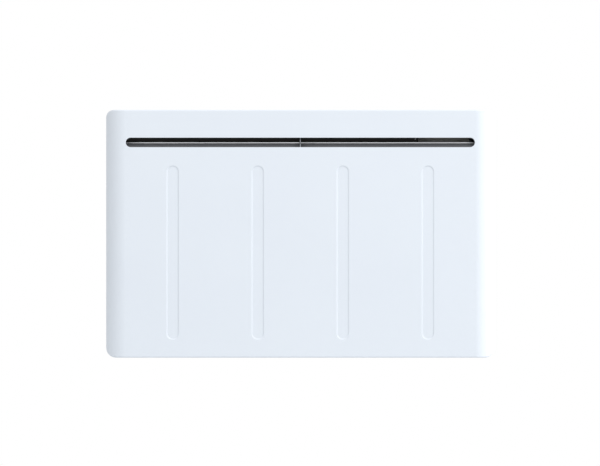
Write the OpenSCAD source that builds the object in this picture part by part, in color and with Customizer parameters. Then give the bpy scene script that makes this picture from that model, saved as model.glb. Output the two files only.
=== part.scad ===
// Wall battery unit: three battery modules side by side on a steel wall frame, behind one clip-on cover.
// X runs right, Y runs back into the wall and Z runs up. The origin is the centre of the wall bolts, on the
// wall's face, so the whole unit lies at negative Y.

/* [Cover] */
// Width of the cover
cover_w = 1070; // [1070:2:1090]
// Height of the cover
cover_h = 682; // [682:2:700]
// Distance from the wall to the front face
unit_d = 319; // [319:1:330]
// Gap between the wall and the cover's rear edge
wall_gap = 5; // [4:1:8]
// Thickness of the cover's sheet
sheet = 2; // [1.5:0.5:2.5]
// Radius of the two rolled upright edges
roll_r = 54; // [45:1:56]
// Radius of the two upper corners, seen from the front
top_r = 22; // [18:1:30]
// Radius of the two lower corners, seen from the front
bottom_r = 28; // [20:1:34]
// Radius where the front face meets the top and bottom walls
lip_r = 4; // [3:1:6]

/* [Vent slot] */
// Length of the vent slot
slot_l = 960; // [900:5:964]
// Height of the vent slot
slot_h = 26; // [24:1:27]
// Height of the slot's centre above the wall bolts' centre
slot_z = 251; // [249:1:253]

/* [Grooves] */
// Number of upright grooves in the front face
groove_n = 4; // [2:1:5]
// Width of a groove
groove_w = 31; // [24:1:36]
// Length of a groove
groove_l = 476; // [400:2:480]
// Distance between neighbouring grooves
groove_pitch = 234; // [200:2:240]
// Depth of a groove
groove_depth = 2.5; // [1:0.5:3]

/* [Battery modules] */
// Width of a module's flange
battery_w = 326; // [320:1:328]
// Distance between neighbouring modules
battery_pitch = 334; // [333:1:335]

/* [Wall frame] */
// Width between the outer wall bolts
bolts_w = 812.8; // [760:0.1:840]
// Height between the upper and lower wall bolts
bolts_h = 400; // [400:1:402]
// Radius of a wall bolt hole
bolt_hole_r = 5; // [4:0.5:6]

/* [Hidden] */
$fn = 48;
PLACES = ["left", "middle", "right"];

// Cover
front_y = -unit_d;
inner_y = front_y + sheet;
side_x = cover_w / 2;
top_z = cover_h / 2;

// Battery modules: a finned tub behind a flange, a lid in front, hung on the upper rail and stood on the shelf
battery_z = -50;
battery_h = 506;
tub_w = 300;
tub_h = 480;
tub_wall = 4;
tub_back_y = -60;
rim_y = -213;
flange_t = 8;
gasket_t = 3;
lid_back_y = rim_y - gasket_t;
lid_t = 6;
panel_y = -225;
fin_t = 3;
fin_tip_y = -36;
fin_pitch = 26;
fin_n = 11;
hook_x = 90;
hook_w = 40;
foot_x = 100;
lid_screw_r = 2.5;
screw_at = concat(
    [for (sx = [-1, 1], k = [-1.5:1:1.5]) [sx * 157.5, k * 130]],
    [for (sx = [-1, 1], sz = [-1, 1]) [sx * 75, sz * 247.5]]);

// Cells: two columns of eight in each module, terminals to the front
cell_w = 134;
cell_t = 45.5;
cell_pitch = 47;
cell_rows = 8;
column_x = 69;
terminal_x = 45;
cell_back_y = -70;
cell_front_y = -178;
terminal_h = 3.5;
stack_z = -281;
end_plate_t = 10;
rod_x = 139.5;

// Inverters and isolator on each lid
inverter_x = 74;
inverter_at = [for (sx = [-1, 1], z = [-193, -7]) [sx * inverter_x, z]];
isolator_x = 95;
isolator_z = 135;
isolator_face_y = -251;
lever_r = 5;

// Wall frame
plate_t = 3;
rail_x = 502;
lip_back_y = -27;
lip_y = -30;
rail_web_z = 150;
rail_lip_z = 172;
shelf_top_z = battery_z - battery_h / 2;
shelf_front_y = -215;
upright_x = 250;
upright_w = 60;
upright_d = 12;
bracket_front_y = -210;
bracket_top_z = 326;
bracket_flange_x = 529;
stud_x = 517;
stud_z = 200;
ball_y = -231;
ball_r = 5;
clip_bore_r = 5.2;
tab_y = -232;

// Service space above the modules
service_y = -42;
service_bottom_z = 212;
trunk_y = -80;
trunk_z = 266;
cable_r = 6;
gland_dx = -100;
tub_top_z = battery_z + tub_h / 2;
tub_floor_z = battery_z - tub_h / 2 + tub_wall;
tee_w = 50;
tee_h = 24;
box_x0 = 290;
box_x1 = 466;
box_z0 = 214;
box_z1 = 324;
box_front_y = -232;
box_wall = 3;
box_lid_y = -235;
box_screw_dx = 79;
box_screw_dz = 46;
box_mid_x = (box_x0 + box_x1) / 2;
box_mid_z = (box_z0 + box_z1) / 2;
hub_x = 400;
hub_y = -90;
hub_r = 13.5;
hub_bottom_z = 312;

// Side panel with the power button
panel_w = 113;
panel_h = 118;
panel_mid_y = -62.5;
panel_mid_z = 100;
panel_x = 505;
panel_shoulder_x = 525;
button_r = 11;
button_face_x = 533;
skirt_r = 13;
skirt_back_x = 520;
button_travel = 3;

// Vent liner behind the slot
liner_t = 1.5;
sill_top_y = -300;
baffle_y = -288;
baffle_right_x = 325;
web_t = 2;
trim_h = 3.6;
crest_z = slot_z - 2.5;
lens_x = 317;
lens_z = 261;

function battery_x(i) = (i - 1) * battery_pitch;
function cell_z(row) = stack_z + end_plate_t + cell_t / 2 + row * cell_pitch;

// ---------- shapes used by several pieces ----------

// Rectangle about the origin with round corners
module rounded(w, h, r) {
    square([w - 2 * r, h], center = true);
    square([w, h - 2 * r], center = true);
    for (sx = [-1, 1], sy = [-1, 1])
        translate([sx * (w / 2 - r), sy * (h / 2 - r)]) circle(r);
}

// Slot shape with round ends, longest along X
module stadium(l, w) {
    square([l - w, w], center = true);
    for (s = [-1, 1]) translate([s * (l - w) / 2, 0]) circle(w / 2);
}

// An XZ outline made solid from y = from back to front
module upright_slab(back, front) {
    translate([0, back, 0]) rotate([90, 0, 0]) linear_extrude(back - front) children();
}

// A YZ profile made solid along X
module along_x(x0, x1) {
    translate([x0, 0, 0]) rotate([90, 0, 90]) linear_extrude(x1 - x0) children();
}

module block(x0, x1, y0, y1, z0, z1) {
    translate([x0, y0, z0]) cube([x1 - x0, y1 - y0, z1 - z0]);
}

// Round bar along Y, from y = back to y = front
module pin_y(x, z, r, back, front) {
    translate([x, back, z]) rotate([90, 0, 0]) cylinder(r = r, h = back - front);
}

module pin_x(x0, x1, y, z, r) {
    translate([x0, y, z]) rotate([0, 90, 0]) cylinder(r = r, h = x1 - x0);
}

module pan_screw(x, z, head_back_y, r, length) {
    pin_y(x, z, r, head_back_y + length, head_back_y);
    pin_y(x, z, r * 1.8, head_back_y, head_back_y - r * 1.2);
}

// ---------- wall frame ----------

module wall_bolt_holes(z) {
    for (x = [-bolts_w / 2, 0, bolts_w / 2]) pin_y(x, z, bolt_hole_r, 1, -plate_t - 1);
}

module upper_rail() {
    color("#6f7478") difference() {
        union() {
            block(-rail_x, rail_x, -plate_t, 0, 120, 220);
            along_x(-rail_x, rail_x) polygon([
                [-plate_t, rail_web_z], [lip_y, rail_web_z], [lip_y, rail_lip_z], [lip_back_y, rail_lip_z],
                [lip_back_y, rail_web_z + plate_t], [-plate_t, rail_web_z + plate_t]]);
        }
        wall_bolt_holes(bolts_h / 2);
    }
}

module lower_rail() {
    color("#6f7478") difference() {
        union() {
            block(-rail_x, rail_x, -plate_t, 0, shelf_top_z - plate_t, -180);
            block(-rail_x, rail_x, shelf_front_y, 0, shelf_top_z - plate_t, shelf_top_z);
            block(-rail_x, rail_x, shelf_front_y, shelf_front_y + plate_t,
                shelf_top_z - 20, shelf_top_z);
            for (x = [-battery_pitch / 2, battery_pitch / 2])
                along_x(x - 1.5, x + 1.5) polygon([
                    [-plate_t, shelf_top_z], [-190, shelf_top_z], [-plate_t, shelf_top_z + 80]]);
        }
        wall_bolt_holes(-bolts_h / 2);
        // air holes under the fins
        for (i = [0:2], k = [-1:1])
            translate([battery_x(i) + k * 90, -48, shelf_top_z - 10])
                linear_extrude(20) stadium(70, 16);
    }
}

// Shallow hat section between the rails
module uprights() {
    color("#6f7478") for (s = [-1, 1])
        translate([s * upright_x, 0, 0]) difference() {
            block(-upright_w / 2, upright_w / 2, -plate_t - upright_d, -plate_t, shelf_top_z, 148);
            block(-upright_w / 4, upright_w / 4, -plate_t - upright_d + 2.5, -plate_t + 1,
                shelf_top_z - 1, 149);
            for (z = [134, -195], k = [-1, 1]) pin_y(k * 22.5, z, 4.1, 0, -20);
        }
}

module frame_bolts() {
    color("#b9bcc0") for (s = [-1, 1], z = [134, -195], k = [-1, 1])
        translate([s * upright_x + k * 22.5, 0, z]) {
            pin_y(0, 0, 4, -plate_t, -plate_t - upright_d);
            upright_slab(-plate_t - upright_d, -plate_t - upright_d - 5) circle(7.5, $fn = 6);
        }
}

// Side of the frame, with the forward flange that carries the ball studs
module side_bracket(s) {
    color("#6f7478") {
        block(min(s * rail_x, s * (rail_x + plate_t)), max(s * rail_x, s * (rail_x + plate_t)),
            bracket_front_y, 0, shelf_top_z - plate_t, bracket_top_z);
        block(min(s * (rail_x + plate_t), s * bracket_flange_x), max(s * (rail_x + plate_t), s * bracket_flange_x),
            bracket_front_y, bracket_front_y + plate_t, -240, 240);
    }
}

module ball_studs() {
    color("#b9bcc0") for (sx = [-1, 1], sz = [-1, 1]) translate([sx * stud_x, 0, sz * stud_z]) {
        pin_y(0, 0, 8, bracket_front_y, bracket_front_y - 3);
        pin_y(0, 0, 3.5, bracket_front_y - 3, ball_y);
        translate([0, ball_y, 0]) sphere(ball_r);
    }
}

module service_plate() {
    color("#6f7478") {
        block(-rail_x, rail_x, service_y, service_y + 2.5, service_bottom_z, bracket_top_z);
        block(-rail_x, rail_x, service_y + 2.5, -6, bracket_top_z - 2.5, bracket_top_z);
    }
}

// ---------- battery modules ----------

module battery_outline(margin) {
    translate([0, battery_z]) rounded(battery_w - 2 * margin, battery_h - 2 * margin, 20 - margin);
}

module lid_holes(back, front) {
    for (p = screw_at) pin_y(p[0], battery_z + p[1], lid_screw_r + 0.1, back, front);
}

module battery_case(i) {
    color("#54595d") translate([battery_x(i), 0, 0]) difference() {
        union() {
            upright_slab(tub_back_y, rim_y) translate([0, battery_z]) rounded(tub_w, tub_h, 16);
            upright_slab(rim_y + flange_t, rim_y) battery_outline(0);
            for (k = [0:fin_n - 1]) {
                x = (k - (fin_n - 1) / 2) * fin_pitch;
                block(x - fin_t / 2, x + fin_t / 2, tub_back_y - 1, fin_tip_y, -280, 140);
            }
            for (s = [-1, 1]) {
                along_x(s * hook_x - hook_w / 2, s * hook_x + hook_w / 2) polygon([
                    [tub_back_y - 1, rail_lip_z], [lip_back_y + 3, rail_lip_z], [lip_back_y + 3, 158],
                    [lip_back_y + 8, 158], [lip_back_y + 8, 186], [tub_back_y - 1, 186]]);
                block(s * foot_x - 20, s * foot_x + 20, -190, -70, shelf_top_z, battery_z - tub_h / 2 + 1);
            }
        }
        upright_slab(tub_back_y - tub_wall, rim_y - 1)
            translate([0, battery_z]) rounded(tub_w - 2 * tub_wall, tub_h - 2 * tub_wall, 12);
        lid_holes(rim_y + flange_t + 1, rim_y - 1);
        translate([gland_dx, trunk_y, tub_top_z - 8]) cylinder(r = 8.1, h = 12);
    }
}

module lid_gaskets() {
    color("#22252a") for (i = [0:2]) translate([battery_x(i), 0, 0]) upright_slab(rim_y, lid_back_y) difference() {
        translate([0, battery_z]) rounded(tub_w + 7, tub_h + 7, 17);
        translate([0, battery_z]) rounded(tub_w - 6, tub_h - 6, 13);
    }
}

module battery_lid(i) {
    color("#5d6367") translate([battery_x(i), 0, 0]) difference() {
        union() {
            upright_slab(lid_back_y, lid_back_y - lid_t) battery_outline(0);
            upright_slab(lid_back_y - lid_t + 1, panel_y) translate([0, battery_z]) rounded(292, 474, 12);
        }
        lid_holes(lid_back_y + 1, lid_back_y - lid_t - 1);
    }
}

module lid_screws() {
    color("#b9bcc0") for (i = [0:2], p = screw_at)
        pan_screw(battery_x(i) + p[0], battery_z + p[1], lid_back_y - lid_t, lid_screw_r,
            lid_t + gasket_t + flange_t - 1);
}

module battery_cells(i) {
    color("#3d6f9e") for (c = [-1, 1], row = [0:cell_rows - 1])
        translate([battery_x(i) + c * column_x, 0, cell_z(row)]) {
            upright_slab(cell_back_y, cell_front_y) rounded(cell_w, cell_t, 3);
            for (s = [-1, 1]) pin_y(s * terminal_x, 0, 7, cell_front_y + 1, cell_front_y - terminal_h);
        }
}

// Top and bottom pressure plates of each stack, with four tie rods
module cell_end_plates() {
    rods = [for (sx = [-1, 1], y = [-84, -164]) [sx * rod_x, y]];
    stack_top = cell_z(cell_rows - 1) + cell_t / 2;
    color("#c9ccd0") for (i = [0:2]) translate([battery_x(i), 0, 0]) {
        for (z = [stack_z, stack_top]) difference() {
            block(-142.5, 142.5, cell_front_y + 2, cell_back_y - 2, z, z + end_plate_t);
            for (p = rods) translate([p[0], p[1], z - 1]) cylinder(r = 2.6, h = end_plate_t + 2);
        }
        for (s = [-1, 1]) block(s * foot_x - 20, s * foot_x + 20, -170, -80, tub_floor_z, stack_z);
        for (p = rods) translate([p[0], p[1], stack_z]) {
            cylinder(r = 2.5, h = stack_top + end_plate_t - stack_z + 8);
            translate([0, 0, stack_top + end_plate_t - stack_z]) cylinder(r = 4, h = 5, $fn = 6);
        }
    }
}

// Copper links that join the sixteen cells in series
module battery_busbars(i) {
    link_y = cell_front_y - terminal_h;
    color("#c77b4a") translate([battery_x(i), 0, 0]) {
        for (c = [-1, 1], row = [0:cell_rows - 2]) {
            x = c * (column_x + (row % 2 == 0 ? terminal_x : -terminal_x));
            z_mid = (cell_z(row) + cell_z(row + 1)) / 2;
            upright_slab(link_y, link_y - 3) translate([x, z_mid]) rotate(90) stadium(cell_pitch + 18, 18);
        }
        upright_slab(link_y, link_y - 3)
            translate([0, cell_z(cell_rows - 1)]) stadium(2 * (column_x - terminal_x) + 18, 18);
    }
}

// Battery management board, hung behind the lid on four standoffs
module control_board(i) {
    board_y = -206;
    color("#2f6b46") translate([battery_x(i), 0, 0]) {
        block(-136, 136, board_y, board_y + 1.6, 118, 180);
        for (sx = [-1, 1], z = [124, 174]) pin_y(sx * 128, z, 4, board_y, lid_back_y);
        block(-110, -70, board_y + 1.6, -186, 128, 168);
        block(-50, -20, board_y + 1.6, -192, 132, 162);
        for (k = [0:3]) block(10 + 24 * k, 26 + 24 * k, board_y + 1.6, -188, 150, 170);
        for (k = [0:4]) pin_y(14 + 18 * k, 132, 6, -190, board_y + 1);
    }
}

// Four potted microinverters on the lid, each with ribs and two sockets
module battery_inverters(i) {
    color("#2b2e31") for (p = inverter_at) translate([battery_x(i) + p[0], 0, p[1]]) {
        upright_slab(panel_y, panel_y - 3) rounded(138, 178, 6);
        upright_slab(panel_y - 2, -250) rounded(122, 150, 12);
        for (k = [-2:2]) block(k * 20 - 1.5, k * 20 + 1.5, -254, -249, -60, 60);
        for (s = [-1, 1]) translate([s * 30, -239, 0]) cylinder(r = 7, h = 172, center = true);
    }
}

module isolator_bodies() {
    color("#d8d9d6") for (i = [0:2]) translate([battery_x(i) + isolator_x, 0, isolator_z]) difference() {
        union() {
            upright_slab(panel_y, isolator_face_y) rounded(66, 66, 5);
            pin_y(0, 0, 26, isolator_face_y + 1, isolator_face_y - 2);
        }
        pin_y(0, 0, 20, isolator_face_y, isolator_face_y - 3);
        pin_y(0, 0, lever_r + 0.05, isolator_face_y + 13, isolator_face_y - 3);
    }
}

// Rotary handle of an isolator: upright when on, a quarter turn left when off
module isolator_lever(i) {
    color("#c23b2e") translate([battery_x(i) + isolator_x, 0, isolator_z]) {
        pin_y(0, 0, lever_r, isolator_face_y + 12, isolator_face_y - 2);
        pin_y(0, 0, 19, isolator_face_y - 1, isolator_face_y - 11);
        upright_slab(isolator_face_y - 10, isolator_face_y - 25) rotate(90) stadium(60, 14);
    }
}

// ---------- cables above the modules ----------

module cable_glands() {
    color("#3a3d40") {
        for (i = [0:2]) translate([battery_x(i) + gland_dx, trunk_y, 0]) difference() {
            union() {
                translate([0, 0, tub_top_z - 10]) cylinder(r = 8, h = 11);
                translate([0, 0, tub_top_z]) cylinder(r = 14, h = 12, $fn = 6);
                translate([0, 0, tub_top_z + 11]) cylinder(r = 12, h = 12);
                translate([0, 0, tub_top_z + 22]) cylinder(r1 = 12, r2 = 8, h = 8);
            }
            translate([0, 0, tub_top_z - 11]) cylinder(r = cable_r + 0.1, h = 50);
        }
        difference() {
            union() {
                pin_x(box_x0 - 1, box_x0 + 9, trunk_y, trunk_z, 8);
                translate([box_x0 - 10, trunk_y, trunk_z]) rotate([0, 90, 0]) cylinder(r = 14, h = 10, $fn = 6);
                pin_x(box_x0 - 20, box_x0 - 9, trunk_y, trunk_z, 12);
            }
            pin_x(box_x0 - 21, box_x0 + 10, trunk_y, trunk_z, cable_r + 0.1);
        }
    }
}

// Drops from the modules and the runs between the tees, ending inside the wiring box
module trunk_cable() {
    color("#1d1f21") {
        for (i = [0:2]) {
            x = battery_x(i) + gland_dx;
            translate([x, trunk_y, tub_top_z - 14]) cylinder(r = cable_r, h = trunk_z - tee_h / 2 - tub_top_z + 14);
            pin_x(x + tee_w / 2, i < 2 ? battery_x(i + 1) + gland_dx - tee_w / 2 : box_x0 + 16,
                trunk_y, trunk_z, cable_r);
        }
    }
}

module cable_tees() {
    color("#26282b") for (i = [0:2])
        translate([battery_x(i) + gland_dx, trunk_y, trunk_z])
            translate([-tee_w / 2, 0, 0]) rotate([90, 0, 90]) linear_extrude(tee_w) rounded(tee_h, tee_h, 6);
}

module cable_clips() {
    color("#3a3d40") for (x = [-battery_pitch - 20, 60]) difference() {
        block(x - 8, x + 8, trunk_y - 12, service_y, trunk_z - 14, trunk_z + 14);
        pin_x(x - 9, x + 9, trunk_y, trunk_z, cable_r + 0.1);
    }
}

// ---------- wiring box ----------

module box_outline(inset) {
    translate([box_mid_x, box_mid_z])
        rounded(box_x1 - box_x0 - 2 * inset, box_z1 - box_z0 - 2 * inset, 10 - inset);
}

module box_screw_holes(back, front, r) {
    for (sx = [-1, 1], sz = [-1, 1])
        pin_y(box_mid_x + sx * box_screw_dx, box_mid_z + sz * box_screw_dz, r, back, front);
}

module wiring_box() {
    color("#4a4d4e") difference() {
        union() {
            difference() {
                upright_slab(service_y, box_front_y) box_outline(0);
                upright_slab(service_y - box_wall, box_front_y - 1) box_outline(box_wall);
            }
            intersection() {
                box_screw_holes(service_y - 1, box_front_y, 6.5);
                upright_slab(service_y, box_front_y) box_outline(1);
            }
        }
        box_screw_holes(box_front_y + 30, box_front_y - 1, 2.1);
        translate([hub_x, hub_y, box_z1 - 5]) cylinder(r = 17.1, h = 8);
        pin_x(box_x0 - 1, box_x0 + 5, trunk_y, trunk_z, 8.1);
    }
}

module wiring_box_seal() {
    color("#22252a") difference() {
        upright_slab(box_front_y, box_lid_y) box_outline(0);
        difference() {
            upright_slab(box_front_y + 1, box_lid_y - 1) box_outline(6);
            box_screw_holes(box_front_y + 2, box_lid_y - 2, 9);
        }
        box_screw_holes(box_front_y + 1, box_lid_y - 1, 2.1);
    }
}

module wiring_box_lid() {
    color("#4a4d4e") difference() {
        union() {
            upright_slab(box_lid_y, box_lid_y - 3) box_outline(0);
            upright_slab(box_lid_y - 2, box_lid_y - 6)
                translate([box_mid_x, box_mid_z]) rounded(140, 92, 8);
        }
        box_screw_holes(box_lid_y + 1, box_lid_y - 4, 2.1);
    }
}

module wiring_box_screws() {
    color("#b9bcc0") for (sx = [-1, 1], sz = [-1, 1])
        pan_screw(box_mid_x + sx * box_screw_dx, box_mid_z + sz * box_screw_dz, box_lid_y - 3, 2, 16);
}

// Five-way terminal block on the box's back wall
module terminal_block() {
    back = service_y - box_wall;
    color("#c9cbc6") difference() {
        union() {
            block(312, 382, back - 36, back, 226, 252);
            for (k = [0:5]) block(311 + 14 * k, 313 + 14 * k, back - 40, back, 224, 254);
        }
        for (k = [0:4]) {
            pin_y(319 + 14 * k, 239, 4, back - 20, back - 37);
            translate([319 + 14 * k, back - 14, 240]) cylinder(r = 3, h = 20);
        }
    }
}

module earth_bar() {
    back = service_y - box_wall;
    color("#c9a24a") {
        block(312, 382, back - 18, back - 12, 290, 302);
        for (x = [316, 378]) pin_y(x, 296, 4, back, back - 13);
        for (k = [0:4]) pin_y(324 + 11.5 * k, 296, 3.5, back - 17, back - 22);
    }
}

// Communications board with a stub aerial
module comms_board() {
    back = service_y - box_wall;
    color("#2f6b46") {
        block(398, 449, back - 11.6, back - 10, 226, 282);
        for (x = [402, 445], z = [230, 278]) pin_y(x, z, 3, back, back - 10.5);
        block(406, 428, back - 15, back - 11, 236, 258);
        block(434, 446, back - 22, back - 11, 236, 250);
        pin_y(440, 268, 3, back - 11, back - 40);
    }
}

// Threaded conduit entry, whose cap fills the notch in the cover's top wall
module conduit_hub() {
    color("#8c9195") difference() {
        union() {
            translate([hub_x, panel_mid_y - 7.5, top_z - 3]) linear_extrude(3) rounded(68, 128, 6);
            translate([hub_x, hub_y, box_z1]) cylinder(r = 24, h = top_z - 2 - box_z1);
            translate([hub_x, hub_y, hub_bottom_z]) cylinder(r = 17, h = box_z1 - hub_bottom_z + 1);
        }
        translate([hub_x, hub_y, hub_bottom_z - 1]) cylinder(r = hub_r, h = 60);
    }
}

module hub_locknut() {
    color("#b9bcc0") translate([hub_x, hub_y, box_z1 - box_wall - 6]) difference() {
        cylinder(r = 25, h = 6, $fn = 6);
        translate([0, 0, -1]) cylinder(r = 17.1, h = 8);
    }
}

// ---------- side panel and power button ----------

module side_panel() {
    color("#e4e8ee") difference() {
        along_x(panel_x, side_x) translate([panel_mid_y, panel_mid_z]) rounded(panel_w, panel_h, 6);
        pin_x(side_x - 4, side_x + 1, panel_mid_y, panel_mid_z, 20);
        pin_x(panel_shoulder_x - 1, side_x, panel_mid_y, panel_mid_z, button_r + 0.08);
        pin_x(panel_x - 1, panel_shoulder_x, panel_mid_y, panel_mid_z, skirt_r + 0.3);
    }
}

module button_switch() {
    color("#22252a") {
        pin_x(panel_x, panel_x + 8, panel_mid_y, panel_mid_z, skirt_r + 0.2);
        pin_x(panel_x + 7, skirt_back_x - button_travel - 0.3, panel_mid_y, panel_mid_z, 4);
    }
}

module power_button() {
    color("#aeb4ba") {
        pin_x(skirt_back_x, button_face_x, panel_mid_y, panel_mid_z, button_r);
        pin_x(skirt_back_x, panel_shoulder_x - 0.3, panel_mid_y, panel_mid_z, skirt_r);
    }
}

// ---------- cover ----------

// Seen from the front: unequal corner radii at the top and bottom
module cover_front(inset) {
    x = side_x - inset;
    z = top_z - inset;
    rt = top_r - inset;
    rb = bottom_r - inset;
    translate([-x, -z + rb]) square([2 * x, 2 * z - rb - rt]);
    translate([-x + rb, -z]) square([2 * (x - rb), z]);
    translate([-x + rt, 0]) square([2 * (x - rt), z]);
    for (s = [-1, 1]) {
        translate([s * (x - rt), z - rt]) circle(rt);
        translate([s * (x - rb), -z + rb]) circle(rb);
    }
}

// A pan profile that opens at the back: half width, corner radius and front position
module pan_profile(half, r, front, back) {
    translate([-half, front + r]) square([2 * half, back - front - r]);
    translate([-half + r, front]) square([2 * (half - r), r + 1]);
    for (s = [-1, 1]) translate([s * (half - r), front + r]) circle(r);
}

module cover_body(inset, back) {
    intersection() {
        upright_slab(back + 1, front_y - 1) cover_front(inset);
        translate([0, 0, -cover_h]) linear_extrude(2 * cover_h)
            pan_profile(side_x - inset, roll_r - inset, front_y + inset, back);
        along_x(-cover_w, cover_w) mirror([1, -1])
            pan_profile(top_z - inset, lip_r - inset, front_y + inset, back);
    }
}

module groove_shape(margin) {
    for (k = [0:groove_n - 1])
        translate([(k - (groove_n - 1) / 2) * groove_pitch, -52])
            rotate(90) stadium(groove_l + 2 * margin, groove_w + 2 * margin);
}

module front_cover() {
    color("#e6ecf4") difference() {
        union() {
            difference() {
                cover_body(0, -wall_gap);
                cover_body(sheet, 20);
            }
            upright_slab(inner_y + groove_depth, inner_y - 0.5) groove_shape(sheet);
        }
        upright_slab(front_y + groove_depth, front_y - 1) groove_shape(0);
        upright_slab(front_y + sheet + 1, front_y - 1) translate([0, slot_z]) stadium(slot_l, slot_h);
        // notch for the side panel, open at the rear edge
        along_x(side_x - sheet - 1, side_x + 1) {
            translate([panel_mid_y, panel_mid_z]) rounded(panel_w + 2, panel_h + 2, 7);
            translate([panel_mid_y, panel_mid_z - panel_h / 2 - 1]) square([200, panel_h + 2]);
        }
        // notch for the conduit hub, open at the rear edge
        translate([0, 0, top_z - sheet - 1]) linear_extrude(sheet + 2) {
            translate([hub_x, panel_mid_y - 7.5]) rounded(70, 130, 7);
            translate([hub_x - 35, panel_mid_y]) square([70, 200]);
        }
        // air intake in the bottom wall
        translate([0, 0, -top_z - 1]) linear_extrude(sheet + 2)
            for (k = [-5.5:1:5.5], y = [-95, -135]) translate([k * 78, y]) stadium(60, 8);
    }
}

// Welded tabs that hold the stud clips
module cover_tabs() {
    color("#d5dae2") for (sx = [-1, 1], sz = [-1, 1]) translate([0, 0, sz * stud_z]) difference() {
        union() {
            block(min(sx * 505, sx * (side_x - sheet)), max(sx * 505, sx * (side_x - sheet)),
                tab_y, tab_y + 2, -20, 20);
            block(min(sx * (side_x - sheet - 2), sx * (side_x - sheet)),
                max(sx * (side_x - sheet - 2), sx * (side_x - sheet)), tab_y, tab_y + 30, -20, 20);
        }
        pin_y(sx * stud_x, 0, 9.1, tab_y + 3, tab_y - 1);
    }
}

module stud_clips() {
    color("#dfe0dc") for (sx = [-1, 1], sz = [-1, 1]) translate([sx * stud_x, 0, sz * stud_z]) difference() {
        union() {
            pin_y(0, 0, 9, tab_y + 8, tab_y - 6);
            pin_y(0, 0, 11.5, tab_y + 4, tab_y + 2);
        }
        pin_y(0, 0, clip_bore_r, tab_y + 9, tab_y - 7);
    }
}

// Folded strip that slopes up behind the slot's lower half
module vent_sill(x0, x1) {
    slot_bottom = slot_z - slot_h / 2;
    color("#4f5154") along_x(x0, x1) polygon([
        [inner_y, slot_bottom - 14], [inner_y + liner_t, slot_bottom - 14],
        [inner_y + liner_t, slot_bottom - 4], [sill_top_y, crest_z - 2],
        [sill_top_y, crest_z], [sill_top_y - 1.5, crest_z], [inner_y, slot_bottom - 2]]);
}

// Bright rolled bead along the crest of each sill
module sill_trim() {
    color("#c4c6c8") for (x = [[-479, -web_t / 2], [web_t / 2, 479]])
        along_x(x[0], x[1]) translate([sill_top_y - 0.75, crest_z + trim_h / 2]) rounded(3, trim_h, 1.2);
}

// Black drip hood above and behind the slot
module vent_baffle(x0, x1) {
    hood_z = slot_z + slot_h / 2 + 8;
    color("#141414") along_x(x0, x1) {
        translate([baffle_y, slot_z - slot_h / 2 - 6]) square([liner_t, hood_z - slot_z + slot_h / 2 + 6]);
        translate([inner_y, hood_z]) square([baffle_y + liner_t - inner_y, liner_t]);
        translate([inner_y, hood_z]) square([liner_t, 12]);
    }
}

// Upright web between the two lengths of the liner
module centre_web() {
    hood_z = slot_z + slot_h / 2 + 8;
    color("#b4b6b8") along_x(-web_t / 2, web_t / 2) polygon([
        [inner_y, slot_z - slot_h / 2 - 14], [inner_y + 6, slot_z - slot_h / 2 - 14],
        [baffle_y + liner_t, slot_z - slot_h / 2 - 6], [baffle_y + liner_t, hood_z + liner_t],
        [inner_y + liner_t, hood_z + liner_t], [inner_y + liner_t, hood_z + 12], [inner_y, hood_z + 12],
        [inner_y, slot_z + slot_h / 2 + 3], [inner_y + 12, slot_z + 8],
        [inner_y + 12, slot_z], [inner_y, slot_z - slot_h / 2 - 2]]);
}

// Lens of the status light, with its board behind the hood
module light_pipe() {
    color("#dfe3e6") {
        pin_y(lens_x, lens_z, 2.2, baffle_y, baffle_y - 2.5);
    }
}

// ---------- assembly ----------

upper_rail();
lower_rail();
uprights();
frame_bolts();
side_bracket(-1);  // left_side_bracket
side_bracket(1);  // right_side_bracket
ball_studs();
service_plate();
lid_gaskets();
lid_screws();
cell_end_plates();
isolator_bodies();
for (i = [0:2]) {
    battery_case(i);
    battery_lid(i);
    battery_cells(i);
    battery_busbars(i);
    control_board(i);
    battery_inverters(i);
    isolator_lever(i);
}
cable_glands();
trunk_cable();
cable_tees();
cable_clips();
wiring_box();
wiring_box_seal();
wiring_box_lid();
wiring_box_screws();
terminal_block();
earth_bar();
comms_board();
conduit_hub();
hub_locknut();
side_panel();
button_switch();
power_button();
front_cover();
cover_tabs();
stud_clips();
vent_sill(-479, -web_t / 2);  // left_vent_sill
vent_sill(web_t / 2, 479);  // right_vent_sill
sill_trim();
vent_baffle(-480, -web_t / 2);  // left_vent_baffle
vent_baffle(web_t / 2, baffle_right_x);  // right_vent_baffle
centre_web();
light_pipe();
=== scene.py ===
import math

import bmesh
import bpy
import numpy as np
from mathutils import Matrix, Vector, geometry


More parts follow.
